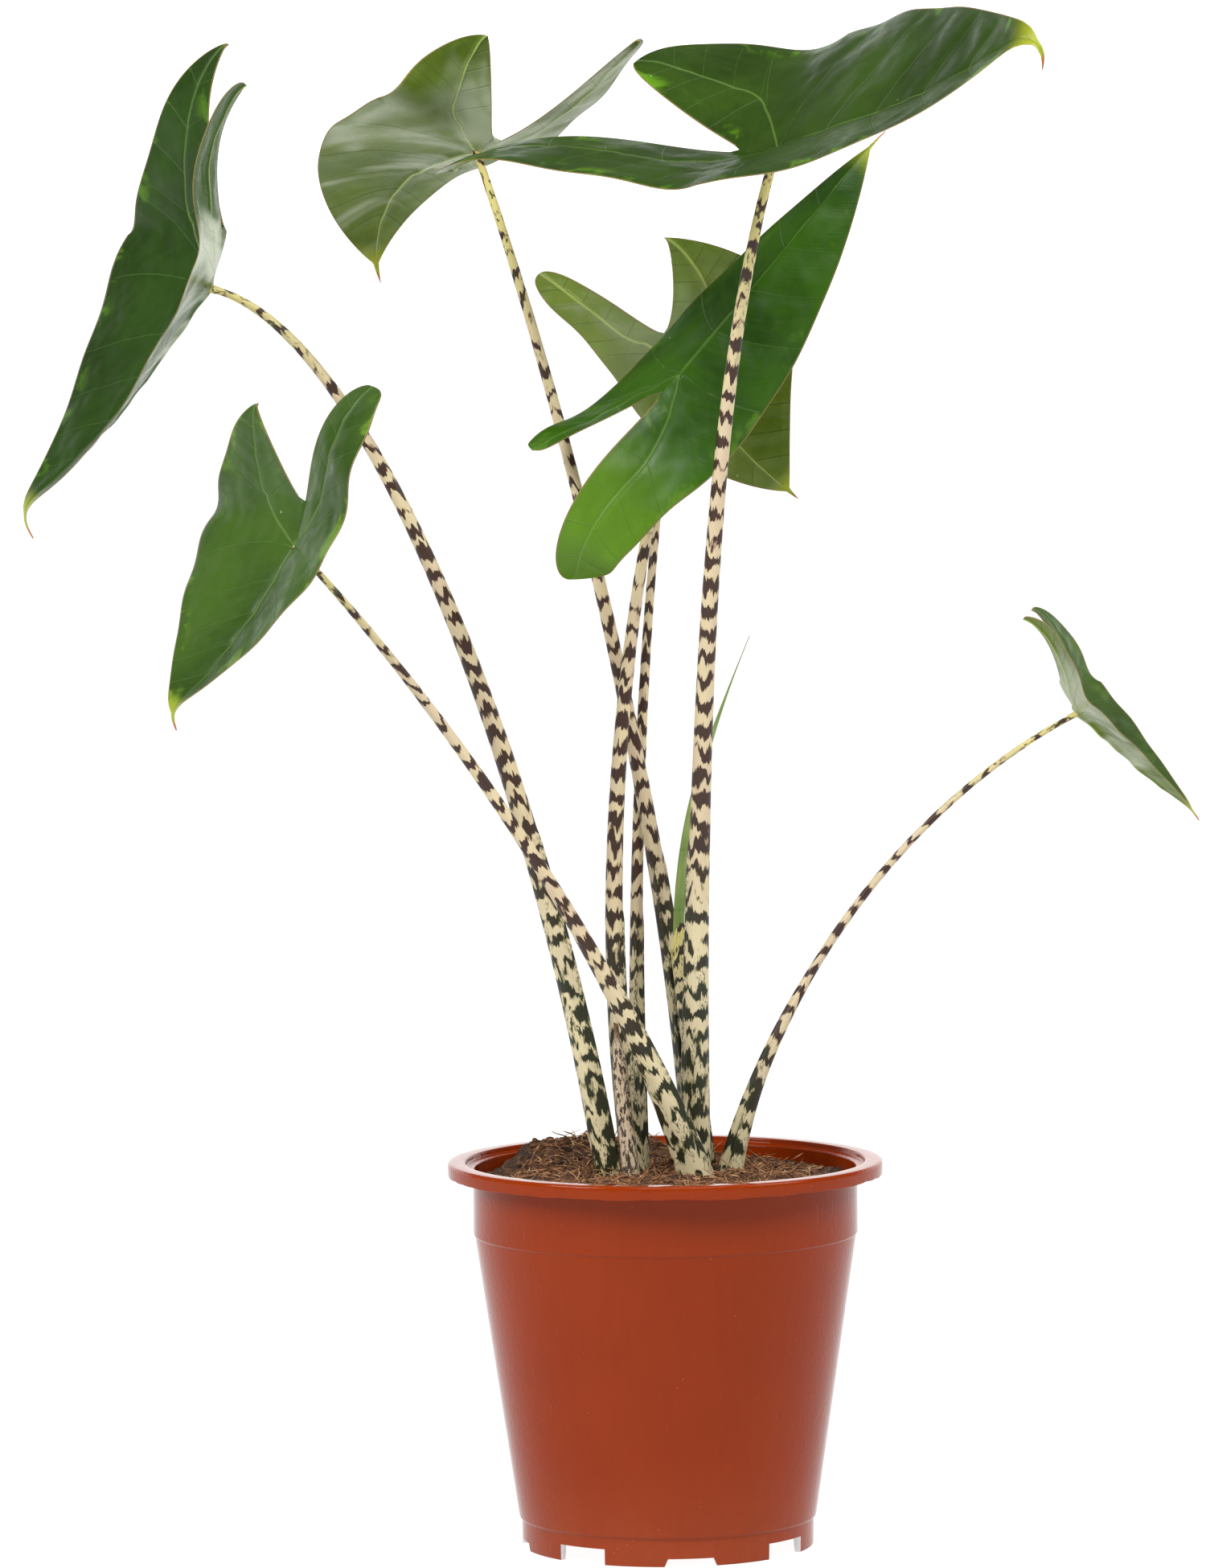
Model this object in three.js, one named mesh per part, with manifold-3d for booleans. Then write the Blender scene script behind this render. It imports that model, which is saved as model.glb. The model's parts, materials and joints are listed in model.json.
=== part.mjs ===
// Potted zebra-stalked alocasia: seven arrow-shaped leaves on banded stalks, in a round nursery pot.
// Millimetres, +Z up. The origin is the middle of the whole plant's box, on the ground under the pot.
// The pot's own axis is worked with first, as X = 0, Y = 0, and the group is shifted at the end.
import * as THREE from "three";
import { mergeVertices } from "three/addons/utils/BufferGeometryUtils.js";
import Module from "manifold-3d";

const wasm = await Module();
wasm.setup();

// Driving dimensions of the pot
const POT_HEIGHT = 169;
const RIM_RADIUS = 95;
const COLLAR_HEIGHT = 6;
const TOP_RADIUS = 84;
const STEP_HEIGHT = 137;
const STEP_DEPTH = 0.6;
const SKIRT_HEIGHT = 12.5;
const BOTTOM_RADIUS = 64.8;
const WALL = 1.6;
const FLOOR_HEIGHT = 8;
const FOOT_WIDTH = 4;
const FOOT_COUNT = 4;
const FIRST_FOOT_ANGLE = -81.5;
const FOOT_GAP_ANGLE = 20;
const FOOT_NOTCH_ANGLE = 21;
const FOOT_NOTCH_HEIGHT = 3.5;
const DRAIN_RADIUS = 6;
const POT_SEGMENTS = 48;

// Driving dimensions of the soil and the rootstocks in it
const SOIL_HEIGHT = 160;
const SOIL_MOUND = 6;
const SOIL_BUMP = 1.6;
const CORM_TOP = 130;
const CORM_DEPTH = 36;
const FOOT_SINK = 3;
const CORM_LEFT = { x: -16, y: -3, radius: 15 };
const CORM_RIGHT = { x: 19, y: 3, radius: 18.5 };

// Clearance between neighbouring pieces
const GAP = 0.3;

// Leaf blades: thickness, the raised midrib under them, and the fineness of their mesh
const BLADE_THICKNESS = 0.8;
const KEEL_DEPTH = 1.5;
const KEEL_SHARE = 0.06;
const COLUMN_SHARES = [0, KEEL_SHARE, 0.38, 0.72, 1];
const FRONT_ROWS = 14;
const NECK_ROWS = 2;
const LOBE_ROWS = 7;
const SPINE_STEPS = 48;

// A stalk has this many sides and steps, and its sheath's groove and wings reach up this share of it
const STALK_SIDES = 10;
const STALK_STEPS = 18;
const SHEATH_SHARE = 0.34;
const GROOVE_DEPTH = 0.3;
const WING_RISE = 0.14;

// Each leaf: "at" is where the stalk meets the blade; heading is the way the tip points, from +X
// towards +Y, then pitch upwards and roll that lifts the left half. Lengths run from the junction
// forwards to the tip and backwards to the ends of the lobes. Pairs are [left, right] as seen from
// above along the leaf. The sinus is the undivided neck behind the junction. Folds lift a half out of
// the blade's plane and curls bend it towards its margin. Lift bends a lobe upwards and sag lets its
// far part droop again. Spread is how far out the lobe's end lies, in half widths, and blunt is how
// round that end is. Angles are in degrees.
const LEAVES = {
  far_left: {
    at: [-195, 0, 551], heading: 185, pitch: -55, roll: -8, length: 138, droop: -22, tip: 30,
    swerve: 0, lobe: [88, 102], width: [48, 68], sinus: 26, fold: [24, 28], fold_tip: [-2, 12],
    curl: [-10, 0], curl_tip: [0, 0], lobe_fold: [24, 30], lobe_curl: [0, 0],
    lift: [62, 52], sag: [74, 50], spread: [0.45, 0.35], blunt: [0.5, -0.8], ripple: 1,
  },
  low_left: {
    at: [-157, -66, 442], heading: 200, pitch: -58, roll: -10, length: 97, droop: -28, tip: 40,
    swerve: 0, lobe: [77, 60], width: [42, 67], sinus: 20, fold: [10, 10], fold_tip: [10, 10],
    curl: [-10, -10], curl_tip: [-10, -10], lobe_fold: [0, 10], lobe_curl: [-10, 0],
    lift: [52, 48], sag: [74, 10], spread: [0.55, 0.4], blunt: [1, -0.8], ripple: 1,
  },
  upper_left: {
    at: [-79, 40, 610], heading: 137, pitch: -8, roll: 10, length: 115, droop: 68, tip: 30,
    swerve: -36, lobe: [56, 92], width: [63, 36], sinus: 12, fold: [10, 10], fold_tip: [0, 0],
    curl: [0, 0], curl_tip: [0, 0], lobe_fold: [10, 24], lobe_curl: [0, 0],
    lift: [60, 28], sag: [0, 0], spread: [0.45, 0.5], blunt: [-0.3, 0.5], ripple: 1,
  },
  upper_right: {
    at: [51, -50, 610], heading: -42, pitch: 14, roll: 29, length: 166, droop: -18, tip: 48,
    swerve: 0, lobe: [90, 145], width: [80, 60], sinus: 20, fold: [16, 16], fold_tip: [26, -10],
    curl: [-20, -8], curl_tip: [-10, -20], lobe_fold: [2, 20], lobe_curl: [-24, -5],
    lift: [42, 46], sag: [0, 58], spread: [0.4, 0.5], blunt: [0.3, 1], ripple: 1,
  },
  middle: {
    at: [9, 8, 512], heading: 30, pitch: 45, roll: 40, length: 150, droop: 0, tip: 10,
    swerve: 0, lobe: [72, 132], width: [36, 42], sinus: 12, fold: [-36, -38], fold_tip: [-30, -24],
    curl: [0, -10], curl_tip: [0, -10], lobe_fold: [-30, -42], lobe_curl: [0, 0],
    lift: [35, 48], sag: [60, 118], spread: [1.25, 0.55], blunt: [0, 0.7], ripple: 1,
  },
  behind: {
    at: [9, 64, 517], heading: -10, pitch: -62, roll: -85, length: 83, droop: 0, tip: 10,
    swerve: -26, lobe: [63, 50], width: [31, 56], sinus: 13, fold: [10, 10], fold_tip: [0, 0],
    curl: [0, 0], curl_tip: [0, 0], lobe_fold: [0, 0], lobe_curl: [0, 0],
    lift: [0, 0], sag: [0, 0], spread: [1.2, 0.36], blunt: [0.2, -1.2], ripple: 1,
  },
  right: {
    at: [183, 20, 362], heading: 0, pitch: -43, roll: 0, length: 71, droop: -8, tip: 20,
    swerve: 0, lobe: [48, 48], width: [28, 26], sinus: 16, fold: [34, 18], fold_tip: [30, 18],
    curl: [0, -10], curl_tip: [0, 0], lobe_fold: [20, 20], lobe_curl: [0, 0],
    lift: [52, 46], sag: [60, 64], spread: [0.45, 0.45], blunt: [0, 0], ripple: 0.5,
  },
};
const RIPPLE_WAVES = 5;
const TAIL_WIDTH = 0.03;

// Each stalk is one smooth bend from its foot on a rootstock to its blade: foot x and y, the two
// points that pull the bend, the radii at the foot, above the sheath and under the blade, and the
// way that the sheath's groove faces.
const STALKS = {
  far_left: {
    foot: [-20, -8], rise: [-41, -6, 300], reach: [-119, 4, 536], radius: [5.6, 4.6, 1.4], groove: 20,
  },
  low_left: {
    foot: [24, -11], rise: [-1, -22, 240], reach: [-104, -46, 385], radius: [6.6, 3.6, 1.2], groove: 40,
  },
  upper_left: {
    foot: [15, 23], rise: [8, 14, 290], reach: [-35, 30, 480], radius: [4.8, 3.7, 1.7], groove: -60,
  },
  upper_right: {
    foot: [14, 1], rise: [14, -2, 300], reach: [17, -36, 500], radius: [6, 4.5, 2], groove: 130,
  },
  middle: {
    foot: [-8, 0], rise: [-37, -4, 280], reach: [-13, 22, 420], radius: [4.8, 3.9, 1.7], groove: 30,
  },
  behind: {
    foot: [-11, 14], rise: [-15, 20, 270], reach: [-9, 38, 420], radius: [4.2, 2.8, 1.3], groove: -40,
  },
  right: {
    foot: [27, 3], rise: [27, 9, 215], reach: [95, 14, 318], radius: [4.4, 2.2, 1.1], groove: 180,
  },
};

const NEW_SHEATH = {
  foot: [22, 12], rise: [16, 14, 190], reach: [9, 13, 230], top: [6, 12, 272], radius: [3.9, 3.6, 3.4],
  groove: 20,
};
const NEW_LEAF = {
  foot: [6, 12, 264], rise: [6, 12, 310], reach: [17, 15, 345], top: [39, 20, 397], radius: 2.3,
};
const OLD_BASE = {
  foot: [-11, -18], rise: [-15, -16, 165], reach: [-19, -14, 200], top: [-21, -11, 229],
  radius: [4.2, 3.4, 2.6], groove: 180,
};

const COLOURS = {
  pot: 0x963a1c,
  soil: 0x3a2418,
  corm: 0x6b4a30,
  stalk: 0xcdbb90,
  blade: 0x3c6b22,
  young: 0x8fb04a,
  withered: 0x7a5a38,
};

const LEFT = 0;
const RIGHT = 1;
const radians = THREE.MathUtils.degToRad;
const vector = (p) => new THREE.Vector3(...p);

function blend(pair, share) {
  return pair[0] + (pair[1] - pair[0]) * share;
}

function smoothStep(x) {
  return THREE.MathUtils.smoothstep(x, 0, 1);
}

// Booleans

function toSolid(geometry) {
  const bare = geometry.clone();
  bare.deleteAttribute("normal");
  bare.deleteAttribute("uv");
  const merged = mergeVertices(bare, 1e-4);
  return new wasm.Manifold(
    new wasm.Mesh({
      numProp: 3,
      vertProperties: new Float32Array(merged.attributes.position.array),
      triVerts: new Uint32Array(merged.index.array),
    }),
  );
}

function toGeometry(solid) {
  const mesh = solid.getMesh();
  const geometry = new THREE.BufferGeometry();
  geometry.setAttribute("position", new THREE.BufferAttribute(mesh.vertProperties, 3));
  geometry.setIndex(new THREE.BufferAttribute(mesh.triVerts, 1));
  geometry.computeVertexNormals();
  return geometry;
}

function largestBody(solid) {
  const bodies = solid.decompose();
  bodies.sort((a, b) => b.volume() - a.volume());
  return bodies[0];
}

// Leaf outline, in shares of the half width

function frontWidth(x) {
  const body = x < 0.93 ? (1 - (x / 0.93) ** 1.55) ** 0.92 : 0;
  const tail = Math.min(TAIL_WIDTH, (TAIL_WIDTH * (1 - x)) / 0.1);
  return Math.max(body, tail);
}

function lobeOuter(y, spread, blunt) {
  return Math.max(0, 1 - y * y) ** blend([0.62, 0.36], blunt) + spread * y * y;
}

function lobeInner(q, spread, blunt) {
  const straight = blend([0.7, 0.25], blunt) * q ** 0.7;
  const rounded = blend([0.3, 0.75], blunt) * (1 - Math.sqrt(Math.max(0, 1 - q * q)));
  return spread * (straight + rounded);
}

// A station on the spine has a point and three directions: forward, left and up

function firstStation(leaf) {
  const heading = radians(leaf.heading);
  const pitch = radians(leaf.pitch);
  const roll = radians(leaf.roll);
  const forward = new THREE.Vector3(
    Math.cos(heading) * Math.cos(pitch),
    Math.sin(heading) * Math.cos(pitch),
    Math.sin(pitch),
  );
  const left = new THREE.Vector3(-Math.sin(heading), Math.cos(heading), 0);
  const up = forward.clone().cross(left);
  left.applyAxisAngle(forward, roll);
  up.applyAxisAngle(forward, roll);
  return { s: 0, point: vector(leaf.at), forward, left, up };
}

function nextStation(station, step, upward, sideways) {
  const forward = station.forward.clone().applyAxisAngle(station.left, -upward);
  const up = station.up.clone().applyAxisAngle(station.left, -upward);
  const left = station.left.clone().applyAxisAngle(up, sideways);
  forward.applyAxisAngle(up, sideways);
  const point = station.point.clone().addScaledVector(forward, step);
  return { s: station.s + step, point, forward, left, up };
}

function midrib(leaf) {
  const stations = [firstStation(leaf)];
  const pitchAt = (x) => -leaf.droop * x * x - leaf.tip * smoothStep((x - 0.82) / 0.18);
  for (let i = 0; i < SPINE_STEPS; i++) {
    const upward = radians(pitchAt((i + 1) / SPINE_STEPS) - pitchAt(i / SPINE_STEPS));
    const sideways = radians(leaf.swerve) / SPINE_STEPS;
    stations.push(nextStation(stations[i], leaf.length / SPINE_STEPS, upward, sideways));
  }
  return stations;
}

function lobeSpine(leaf, side) {
  const stations = [firstStation(leaf)];
  const rise = (x) => leaf.lift[side] * (1 - (1 - x) ** 3) - leaf.sag[side] * x * x;
  for (let i = 0; i < SPINE_STEPS; i++) {
    const upward = radians(rise(i / SPINE_STEPS) - rise((i + 1) / SPINE_STEPS));
    stations.push(nextStation(stations[i], -leaf.lobe[side] / SPINE_STEPS, upward, 0));
  }
  return stations;
}

function stationAt(stations, s) {
  const place = (Math.abs(s) / Math.abs(stations[SPINE_STEPS].s)) * SPINE_STEPS;
  const i = Math.min(Math.floor(place), SPINE_STEPS - 1);
  const mix = place - i;
  const between = (key) => stations[i][key].clone().lerp(stations[i + 1][key], mix);
  return { point: between("point"), left: between("left"), up: between("up") };
}

// A half section walks outward from the spine, folding and curling as it goes

function sectionPoint(station, side, distance, halfWidth, fold, curl) {
  const steps = 16;
  const outward = side === LEFT ? 1 : -1;
  const point = station.point.clone();
  for (let k = 0; k < steps; k++) {
    const share = (((k + 0.5) / steps) * distance) / halfWidth;
    const angle = radians(fold + curl * share * share);
    point.addScaledVector(station.left, (outward * Math.cos(angle) * distance) / steps);
    point.addScaledVector(station.up, (Math.sin(angle) * distance) / steps);
  }
  return point;
}

function rowsOfSide(leaf, side) {
  const rows = [];
  const freeLength = leaf.lobe[side] - leaf.sinus;
  for (let k = 0; k < LOBE_ROWS; k++) {
    rows.push(-leaf.sinus - freeLength * Math.cos((k / LOBE_ROWS) * (Math.PI / 2)));
  }
  for (let k = 0; k < NECK_ROWS; k++) {
    rows.push(-leaf.sinus * (1 - k / NECK_ROWS));
  }
  for (let k = 0; k <= FRONT_ROWS; k++) {
    rows.push((leaf.length * k) / FRONT_ROWS);
  }
  return rows;
}

function rowShape(leaf, side, s) {
  if (s >= 0) {
    const x = Math.min(1, s / leaf.length);
    return {
      inner: 0,
      outer: leaf.width[side] * frontWidth(x),
      fold: blend([leaf.fold[side], leaf.fold_tip[side]], x),
      curl: blend([leaf.curl[side], leaf.curl_tip[side]], x),
    };
  }
  const y = Math.min(1, -s / leaf.lobe[side]);
  const q = Math.max(0, (-s - leaf.sinus) / (leaf.lobe[side] - leaf.sinus));
  return {
    inner: leaf.width[side] * lobeInner(Math.min(1, q), leaf.spread[side], leaf.blunt[side]),
    outer: leaf.width[side] * lobeOuter(y, leaf.spread[side], leaf.blunt[side]),
    fold: blend([leaf.fold[side], leaf.lobe_fold[side]], y),
    curl: blend([leaf.curl[side], leaf.lobe_curl[side]], y),
  };
}

// The blade as a sheet: points, the keel's share at each, and triangles that face up

function bladeSheet(leaf) {
  const points = [];
  const keels = [];
  const triangles = [];
  const shared = new Map();
  const spines = { front: midrib(leaf), back: [lobeSpine(leaf, LEFT), lobeSpine(leaf, RIGHT)] };

  function addPoint(point, keel) {
    points.push(point);
    keels.push(keel);
    return points.length - 1;
  }

  function addRow(side, s) {
    const shape = rowShape(leaf, side, s);
    const station = stationAt(s >= 0 ? spines.front : spines.back[side], s);
    const span = leaf.lobe[side] + leaf.length;
    const phase = side === LEFT ? 2 : 0;
    const wave = leaf.ripple * Math.sin((RIPPLE_WAVES * 2 * Math.PI * s) / span + phase);
    const keel = s >= 0 ? 1 - 0.9 * (s / leaf.length) : 0.6;
    const pointed = s >= leaf.length - 1e-6 || s <= -leaf.lobe[side] + 1e-6;
    const shares = pointed ? [1] : COLUMN_SHARES;
    return shares.map((share) => {
      const onMidrib = share * (shape.outer - shape.inner) + shape.inner < 1e-9;
      const common = onMidrib || (pointed && s > 0);
      const key = Math.round(s * 1000);
      if (common && shared.has(key)) {
        return shared.get(key);
      }
      const distance = common ? 0 : shape.inner + (shape.outer - shape.inner) * share;
      const half = leaf.width[side];
      const point = sectionPoint(station, side, distance, half, shape.fold, shape.curl);
      point.addScaledVector(station.up, wave * (distance / half) ** 2);
      const id = addPoint(point, common ? keel : 0);
      if (common) {
        shared.set(key, id);
      }
      return id;
    });
  }

  function addTriangle(side, a, b, c) {
    triangles.push(side === LEFT ? [a, b, c] : [a, c, b]);
  }

  function joinRows(side, back, front) {
    const count = Math.max(back.length, front.length) - 1;
    for (let j = 0; j < count; j++) {
      if (back.length === 1) {
        addTriangle(side, back[0], front[j], front[j + 1]);
      } else if (front.length === 1) {
        addTriangle(side, back[j], front[0], back[j + 1]);
      } else {
        addTriangle(side, back[j], front[j], front[j + 1]);
        addTriangle(side, back[j], front[j + 1], back[j + 1]);
      }
    }
  }

  for (const side of [LEFT, RIGHT]) {
    const rows = rowsOfSide(leaf, side).map((s) => addRow(side, s));
    rows.slice(1).forEach((row, i) => joinRows(side, rows[i], row));
  }
  return { points, keels, triangles };
}

function sheetNormals(sheet) {
  const normals = sheet.points.map(() => new THREE.Vector3());
  for (const [a, b, c] of sheet.triangles) {
    const ab = sheet.points[b].clone().sub(sheet.points[a]);
    const ac = sheet.points[c].clone().sub(sheet.points[a]);
    const normal = ab.cross(ac);
    for (const id of [a, b, c]) {
      normals[id].add(normal);
    }
  }
  return normals.map((normal) => normal.normalize());
}

// Both faces carry the same triangles, so a waved blade never crosses itself
function thicken(sheet, thickness, keelDepth) {
  const normals = sheetNormals(sheet);
  const count = sheet.points.length;
  const top = sheet.points.map((p, i) => p.clone().addScaledVector(normals[i], thickness / 2));
  const bottom = sheet.points.map((p, i) =>
    p.clone().addScaledVector(normals[i], -thickness / 2 - keelDepth * sheet.keels[i]),
  );
  const index = [];
  const edges = new Map();
  for (const [a, b, c] of sheet.triangles) {
    index.push(a, b, c, a + count, c + count, b + count);
    for (const [from, to] of [[a, b], [b, c], [c, a]]) {
      edges.set(from + "-" + to, [from, to]);
    }
  }
  for (const [from, to] of edges.values()) {
    if (!edges.has(to + "-" + from)) {
      index.push(to, from, from + count, to, from + count, to + count);
    }
  }
  const geometry = new THREE.BufferGeometry();
  geometry.setFromPoints([...top, ...bottom]);
  geometry.setIndex(index);
  return geometry;
}

// Stalks: a cylinder bent along its curve, with a groove and two wings over its sheath

function stalkRadius(radii, share, sheathShare) {
  if (share <= sheathShare) {
    return blend([radii[0], radii[1]], smoothStep(share / sheathShare));
  }
  return blend([radii[1], radii[2]], ((share - sheathShare) / (1 - sheathShare)) ** 0.9);
}

function sheathFactor(angle, strength) {
  const fromGroove = Math.abs(Math.atan2(Math.sin(angle), Math.cos(angle)));
  const groove = GROOVE_DEPTH * Math.exp(-((fromGroove / 0.42) ** 2));
  const wing = WING_RISE * Math.exp(-(((fromGroove - 0.95) / 0.35) ** 2));
  return 1 + strength * (wing - groove);
}

function bentStalk(curve, radii, groove, sheathShare, clearance, sides = STALK_SIDES) {
  const geometry = new THREE.CylinderGeometry(1, 1, 1, sides, STALK_STEPS);
  const heading = radians(groove);
  const facing = new THREE.Vector3(Math.cos(heading), Math.sin(heading), 0.5);
  const position = geometry.attributes.position;
  for (let i = 0; i < position.count; i++) {
    const share = Math.min(1, Math.max(0, position.getY(i) + 0.5));
    const angle = Math.atan2(position.getZ(i), position.getX(i));
    const reach = Math.hypot(position.getX(i), position.getZ(i));
    const along = curve.getTangent(share);
    const toGroove = facing.clone().addScaledVector(along, -along.dot(facing)).normalize();
    const beside = along.clone().cross(toGroove);
    const strength = 1 - smoothStep((share - sheathShare * 0.6) / (sheathShare * 0.6));
    const radius = stalkRadius(radii, share, sheathShare) * sheathFactor(angle, strength);
    const point = curve.getPoint(share);
    point.addScaledVector(toGroove, reach * (radius + clearance) * Math.cos(angle));
    point.addScaledVector(beside, -reach * (radius + clearance) * Math.sin(angle));
    position.setXYZ(i, point.x, point.y, point.z);
  }
  return geometry;
}

function curveOf(foot, rise, reach, top) {
  return new THREE.CubicBezierCurve3(vector(foot), vector(rise), vector(reach), vector(top));
}

// Feet start a little low, and are then cut back from the rootstocks that carry them
function stalkSolid(name, clearance) {
  const stalk = STALKS[name];
  const foot = [...stalk.foot, CORM_TOP - FOOT_SINK];
  const curve = curveOf(foot, stalk.rise, stalk.reach, LEAVES[name].at);
  return toSolid(bentStalk(curve, stalk.radius, stalk.groove, SHEATH_SHARE, clearance));
}

function sheathSolid(part, clearance) {
  const foot = [...part.foot, CORM_TOP - FOOT_SINK];
  const curve = curveOf(foot, part.rise, part.reach, part.top);
  return toSolid(bentStalk(curve, part.radius, part.groove, 1, clearance));
}

// The rolled leaf: a spindle with a lap running up it, finely pointed
function rolledLeaf(clearance) {
  const curve = curveOf(NEW_LEAF.foot, NEW_LEAF.rise, NEW_LEAF.reach, NEW_LEAF.top);
  const geometry = new THREE.CylinderGeometry(1, 1, 1, STALK_SIDES, STALK_STEPS);
  const position = geometry.attributes.position;
  for (let i = 0; i < position.count; i++) {
    const share = Math.min(1, Math.max(0, position.getY(i) + 0.5));
    const reach = Math.hypot(position.getX(i), position.getZ(i));
    const angle = Math.atan2(position.getZ(i), position.getX(i));
    const swell = 1 - 0.9 * smoothStep((share - 0.35) / 0.65);
    const lap = 1 + 0.16 * Math.cos(angle - 2 * share);
    const radius = NEW_LEAF.radius * swell * lap + clearance;
    const point = curve.getPoint(share);
    point.x += reach * radius * Math.cos(angle);
    point.y -= reach * radius * Math.sin(angle);
    position.setXYZ(i, point.x, point.y, point.z);
  }
  return toSolid(geometry);
}

// Pot

function ringOf(radius, z) {
  return new THREE.Vector2(radius, z);
}

function potProfile() {
  const collarFoot = POT_HEIGHT - COLLAR_HEIGHT;
  const stepRadius = TOP_RADIUS - STEP_DEPTH;
  const ledge = 1.3;
  const inner = (radius) => radius - WALL;
  return [
    ringOf(0, FLOOR_HEIGHT),
    ringOf(BOTTOM_RADIUS - FOOT_WIDTH - 1, FLOOR_HEIGHT),
    ringOf(BOTTOM_RADIUS - FOOT_WIDTH, 0),
    ringOf(BOTTOM_RADIUS - 2, 0),
    ringOf(BOTTOM_RADIUS - 1, 0.8),
    ringOf(BOTTOM_RADIUS - 0.8, SKIRT_HEIGHT - 0.5),
    ringOf(BOTTOM_RADIUS, SKIRT_HEIGHT),
    ringOf(BOTTOM_RADIUS + ledge * 0.2, SKIRT_HEIGHT + ledge),
    ringOf(stepRadius, STEP_HEIGHT),
    ringOf(TOP_RADIUS - 0.1, STEP_HEIGHT + 0.6),
    ringOf(TOP_RADIUS, collarFoot),
    ringOf(TOP_RADIUS + 0.8, collarFoot + 2),
    ringOf(TOP_RADIUS + 4.6, collarFoot + 2.4),
    ringOf(TOP_RADIUS + 5, collarFoot + 4.3),
    ringOf(RIM_RADIUS - WALL, collarFoot + 4.3),
    ringOf(RIM_RADIUS - WALL, collarFoot),
    ringOf(RIM_RADIUS - 0.2, collarFoot),
    ringOf(RIM_RADIUS, collarFoot + 0.5),
    ringOf(RIM_RADIUS, POT_HEIGHT - 1.8),
    ringOf(RIM_RADIUS - 0.5, POT_HEIGHT - 0.6),
    ringOf(RIM_RADIUS - 1.6, POT_HEIGHT),
    ringOf(RIM_RADIUS - 7.4, POT_HEIGHT),
    ringOf(RIM_RADIUS - 7.9, POT_HEIGHT - 1.9),
    ringOf(TOP_RADIUS - 0.6, POT_HEIGHT - 2.4),
    ringOf(inner(TOP_RADIUS), POT_HEIGHT - 4),
    ringOf(inner(stepRadius), STEP_HEIGHT),
    ringOf(inner(BOTTOM_RADIUS), SKIRT_HEIGHT + ledge),
    ringOf(inner(BOTTOM_RADIUS) - 0.6, FLOOR_HEIGHT + 2),
    ringOf(0, FLOOR_HEIGHT + 2),
  ];
}

// A wedge that cuts through the foot skirt: it widens downwards if its top is narrower
function skirtCutter(middle, width, topWidth, top) {
  const inside = BOTTOM_RADIUS - FOOT_WIDTH - 3;
  const outside = BOTTOM_RADIUS + 2;
  const below = -2;
  const half = (angle, radius) => radius * Math.tan(radians(angle / 2));
  const shape = new THREE.Shape([
    new THREE.Vector2(-half(width, outside), below),
    new THREE.Vector2(half(width, outside), below),
    new THREE.Vector2(half(topWidth, outside), top),
    new THREE.Vector2(-half(topWidth, outside), top),
  ]);
  const depth = outside - inside;
  const geometry = new THREE.ExtrudeGeometry(shape, { depth, bevelEnabled: false });
  geometry.rotateX(Math.PI / 2);
  geometry.translate(0, -inside, 0);
  geometry.rotateZ(radians(middle + 90));
  return toSolid(geometry);
}

function drainCutter(angle) {
  const geometry = new THREE.CylinderGeometry(DRAIN_RADIUS, DRAIN_RADIUS, FLOOR_HEIGHT, 16);
  geometry.rotateX(Math.PI / 2);
  const reach = BOTTOM_RADIUS - FOOT_WIDTH - 2 - 1.6 * DRAIN_RADIUS;
  geometry.translate(reach * Math.cos(radians(angle)), reach * Math.sin(radians(angle)), FLOOR_HEIGHT + 1);
  return toSolid(geometry);
}

function potSolid() {
  let pot = toSolid(new THREE.LatheGeometry(potProfile(), POT_SEGMENTS).rotateX(Math.PI / 2));
  const footTurn = 360 / FOOT_COUNT;
  for (let k = 0; k < FOOT_COUNT; k++) {
    const foot = FIRST_FOOT_ANGLE + footTurn * k;
    const gap = foot + footTurn / 2;
    pot = pot.subtract(skirtCutter(foot, FOOT_NOTCH_ANGLE, FOOT_NOTCH_ANGLE - 4, FOOT_NOTCH_HEIGHT));
    pot = pot.subtract(skirtCutter(gap, FOOT_GAP_ANGLE, FOOT_GAP_ANGLE, FLOOR_HEIGHT - 1));
    pot = pot.subtract(drainCutter(gap));
  }
  return pot;
}

// Soil and rootstocks

function soilTop(x, y) {
  const reach = Math.hypot(x, y) / TOP_RADIUS;
  const mound = SOIL_MOUND * Math.exp(-(((x + 45) / 32) ** 2) - ((y - 35) / 30) ** 2);
  const crown = 2 * (1 - reach * reach);
  const lumps = Math.sin(x * 0.19 + 1) * Math.cos(y * 0.23) + 0.6 * Math.sin(x * 0.41 + y * 0.37 + 2);
  return SOIL_HEIGHT + mound + crown + SOIL_BUMP * lumps * 0.6;
}

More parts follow.
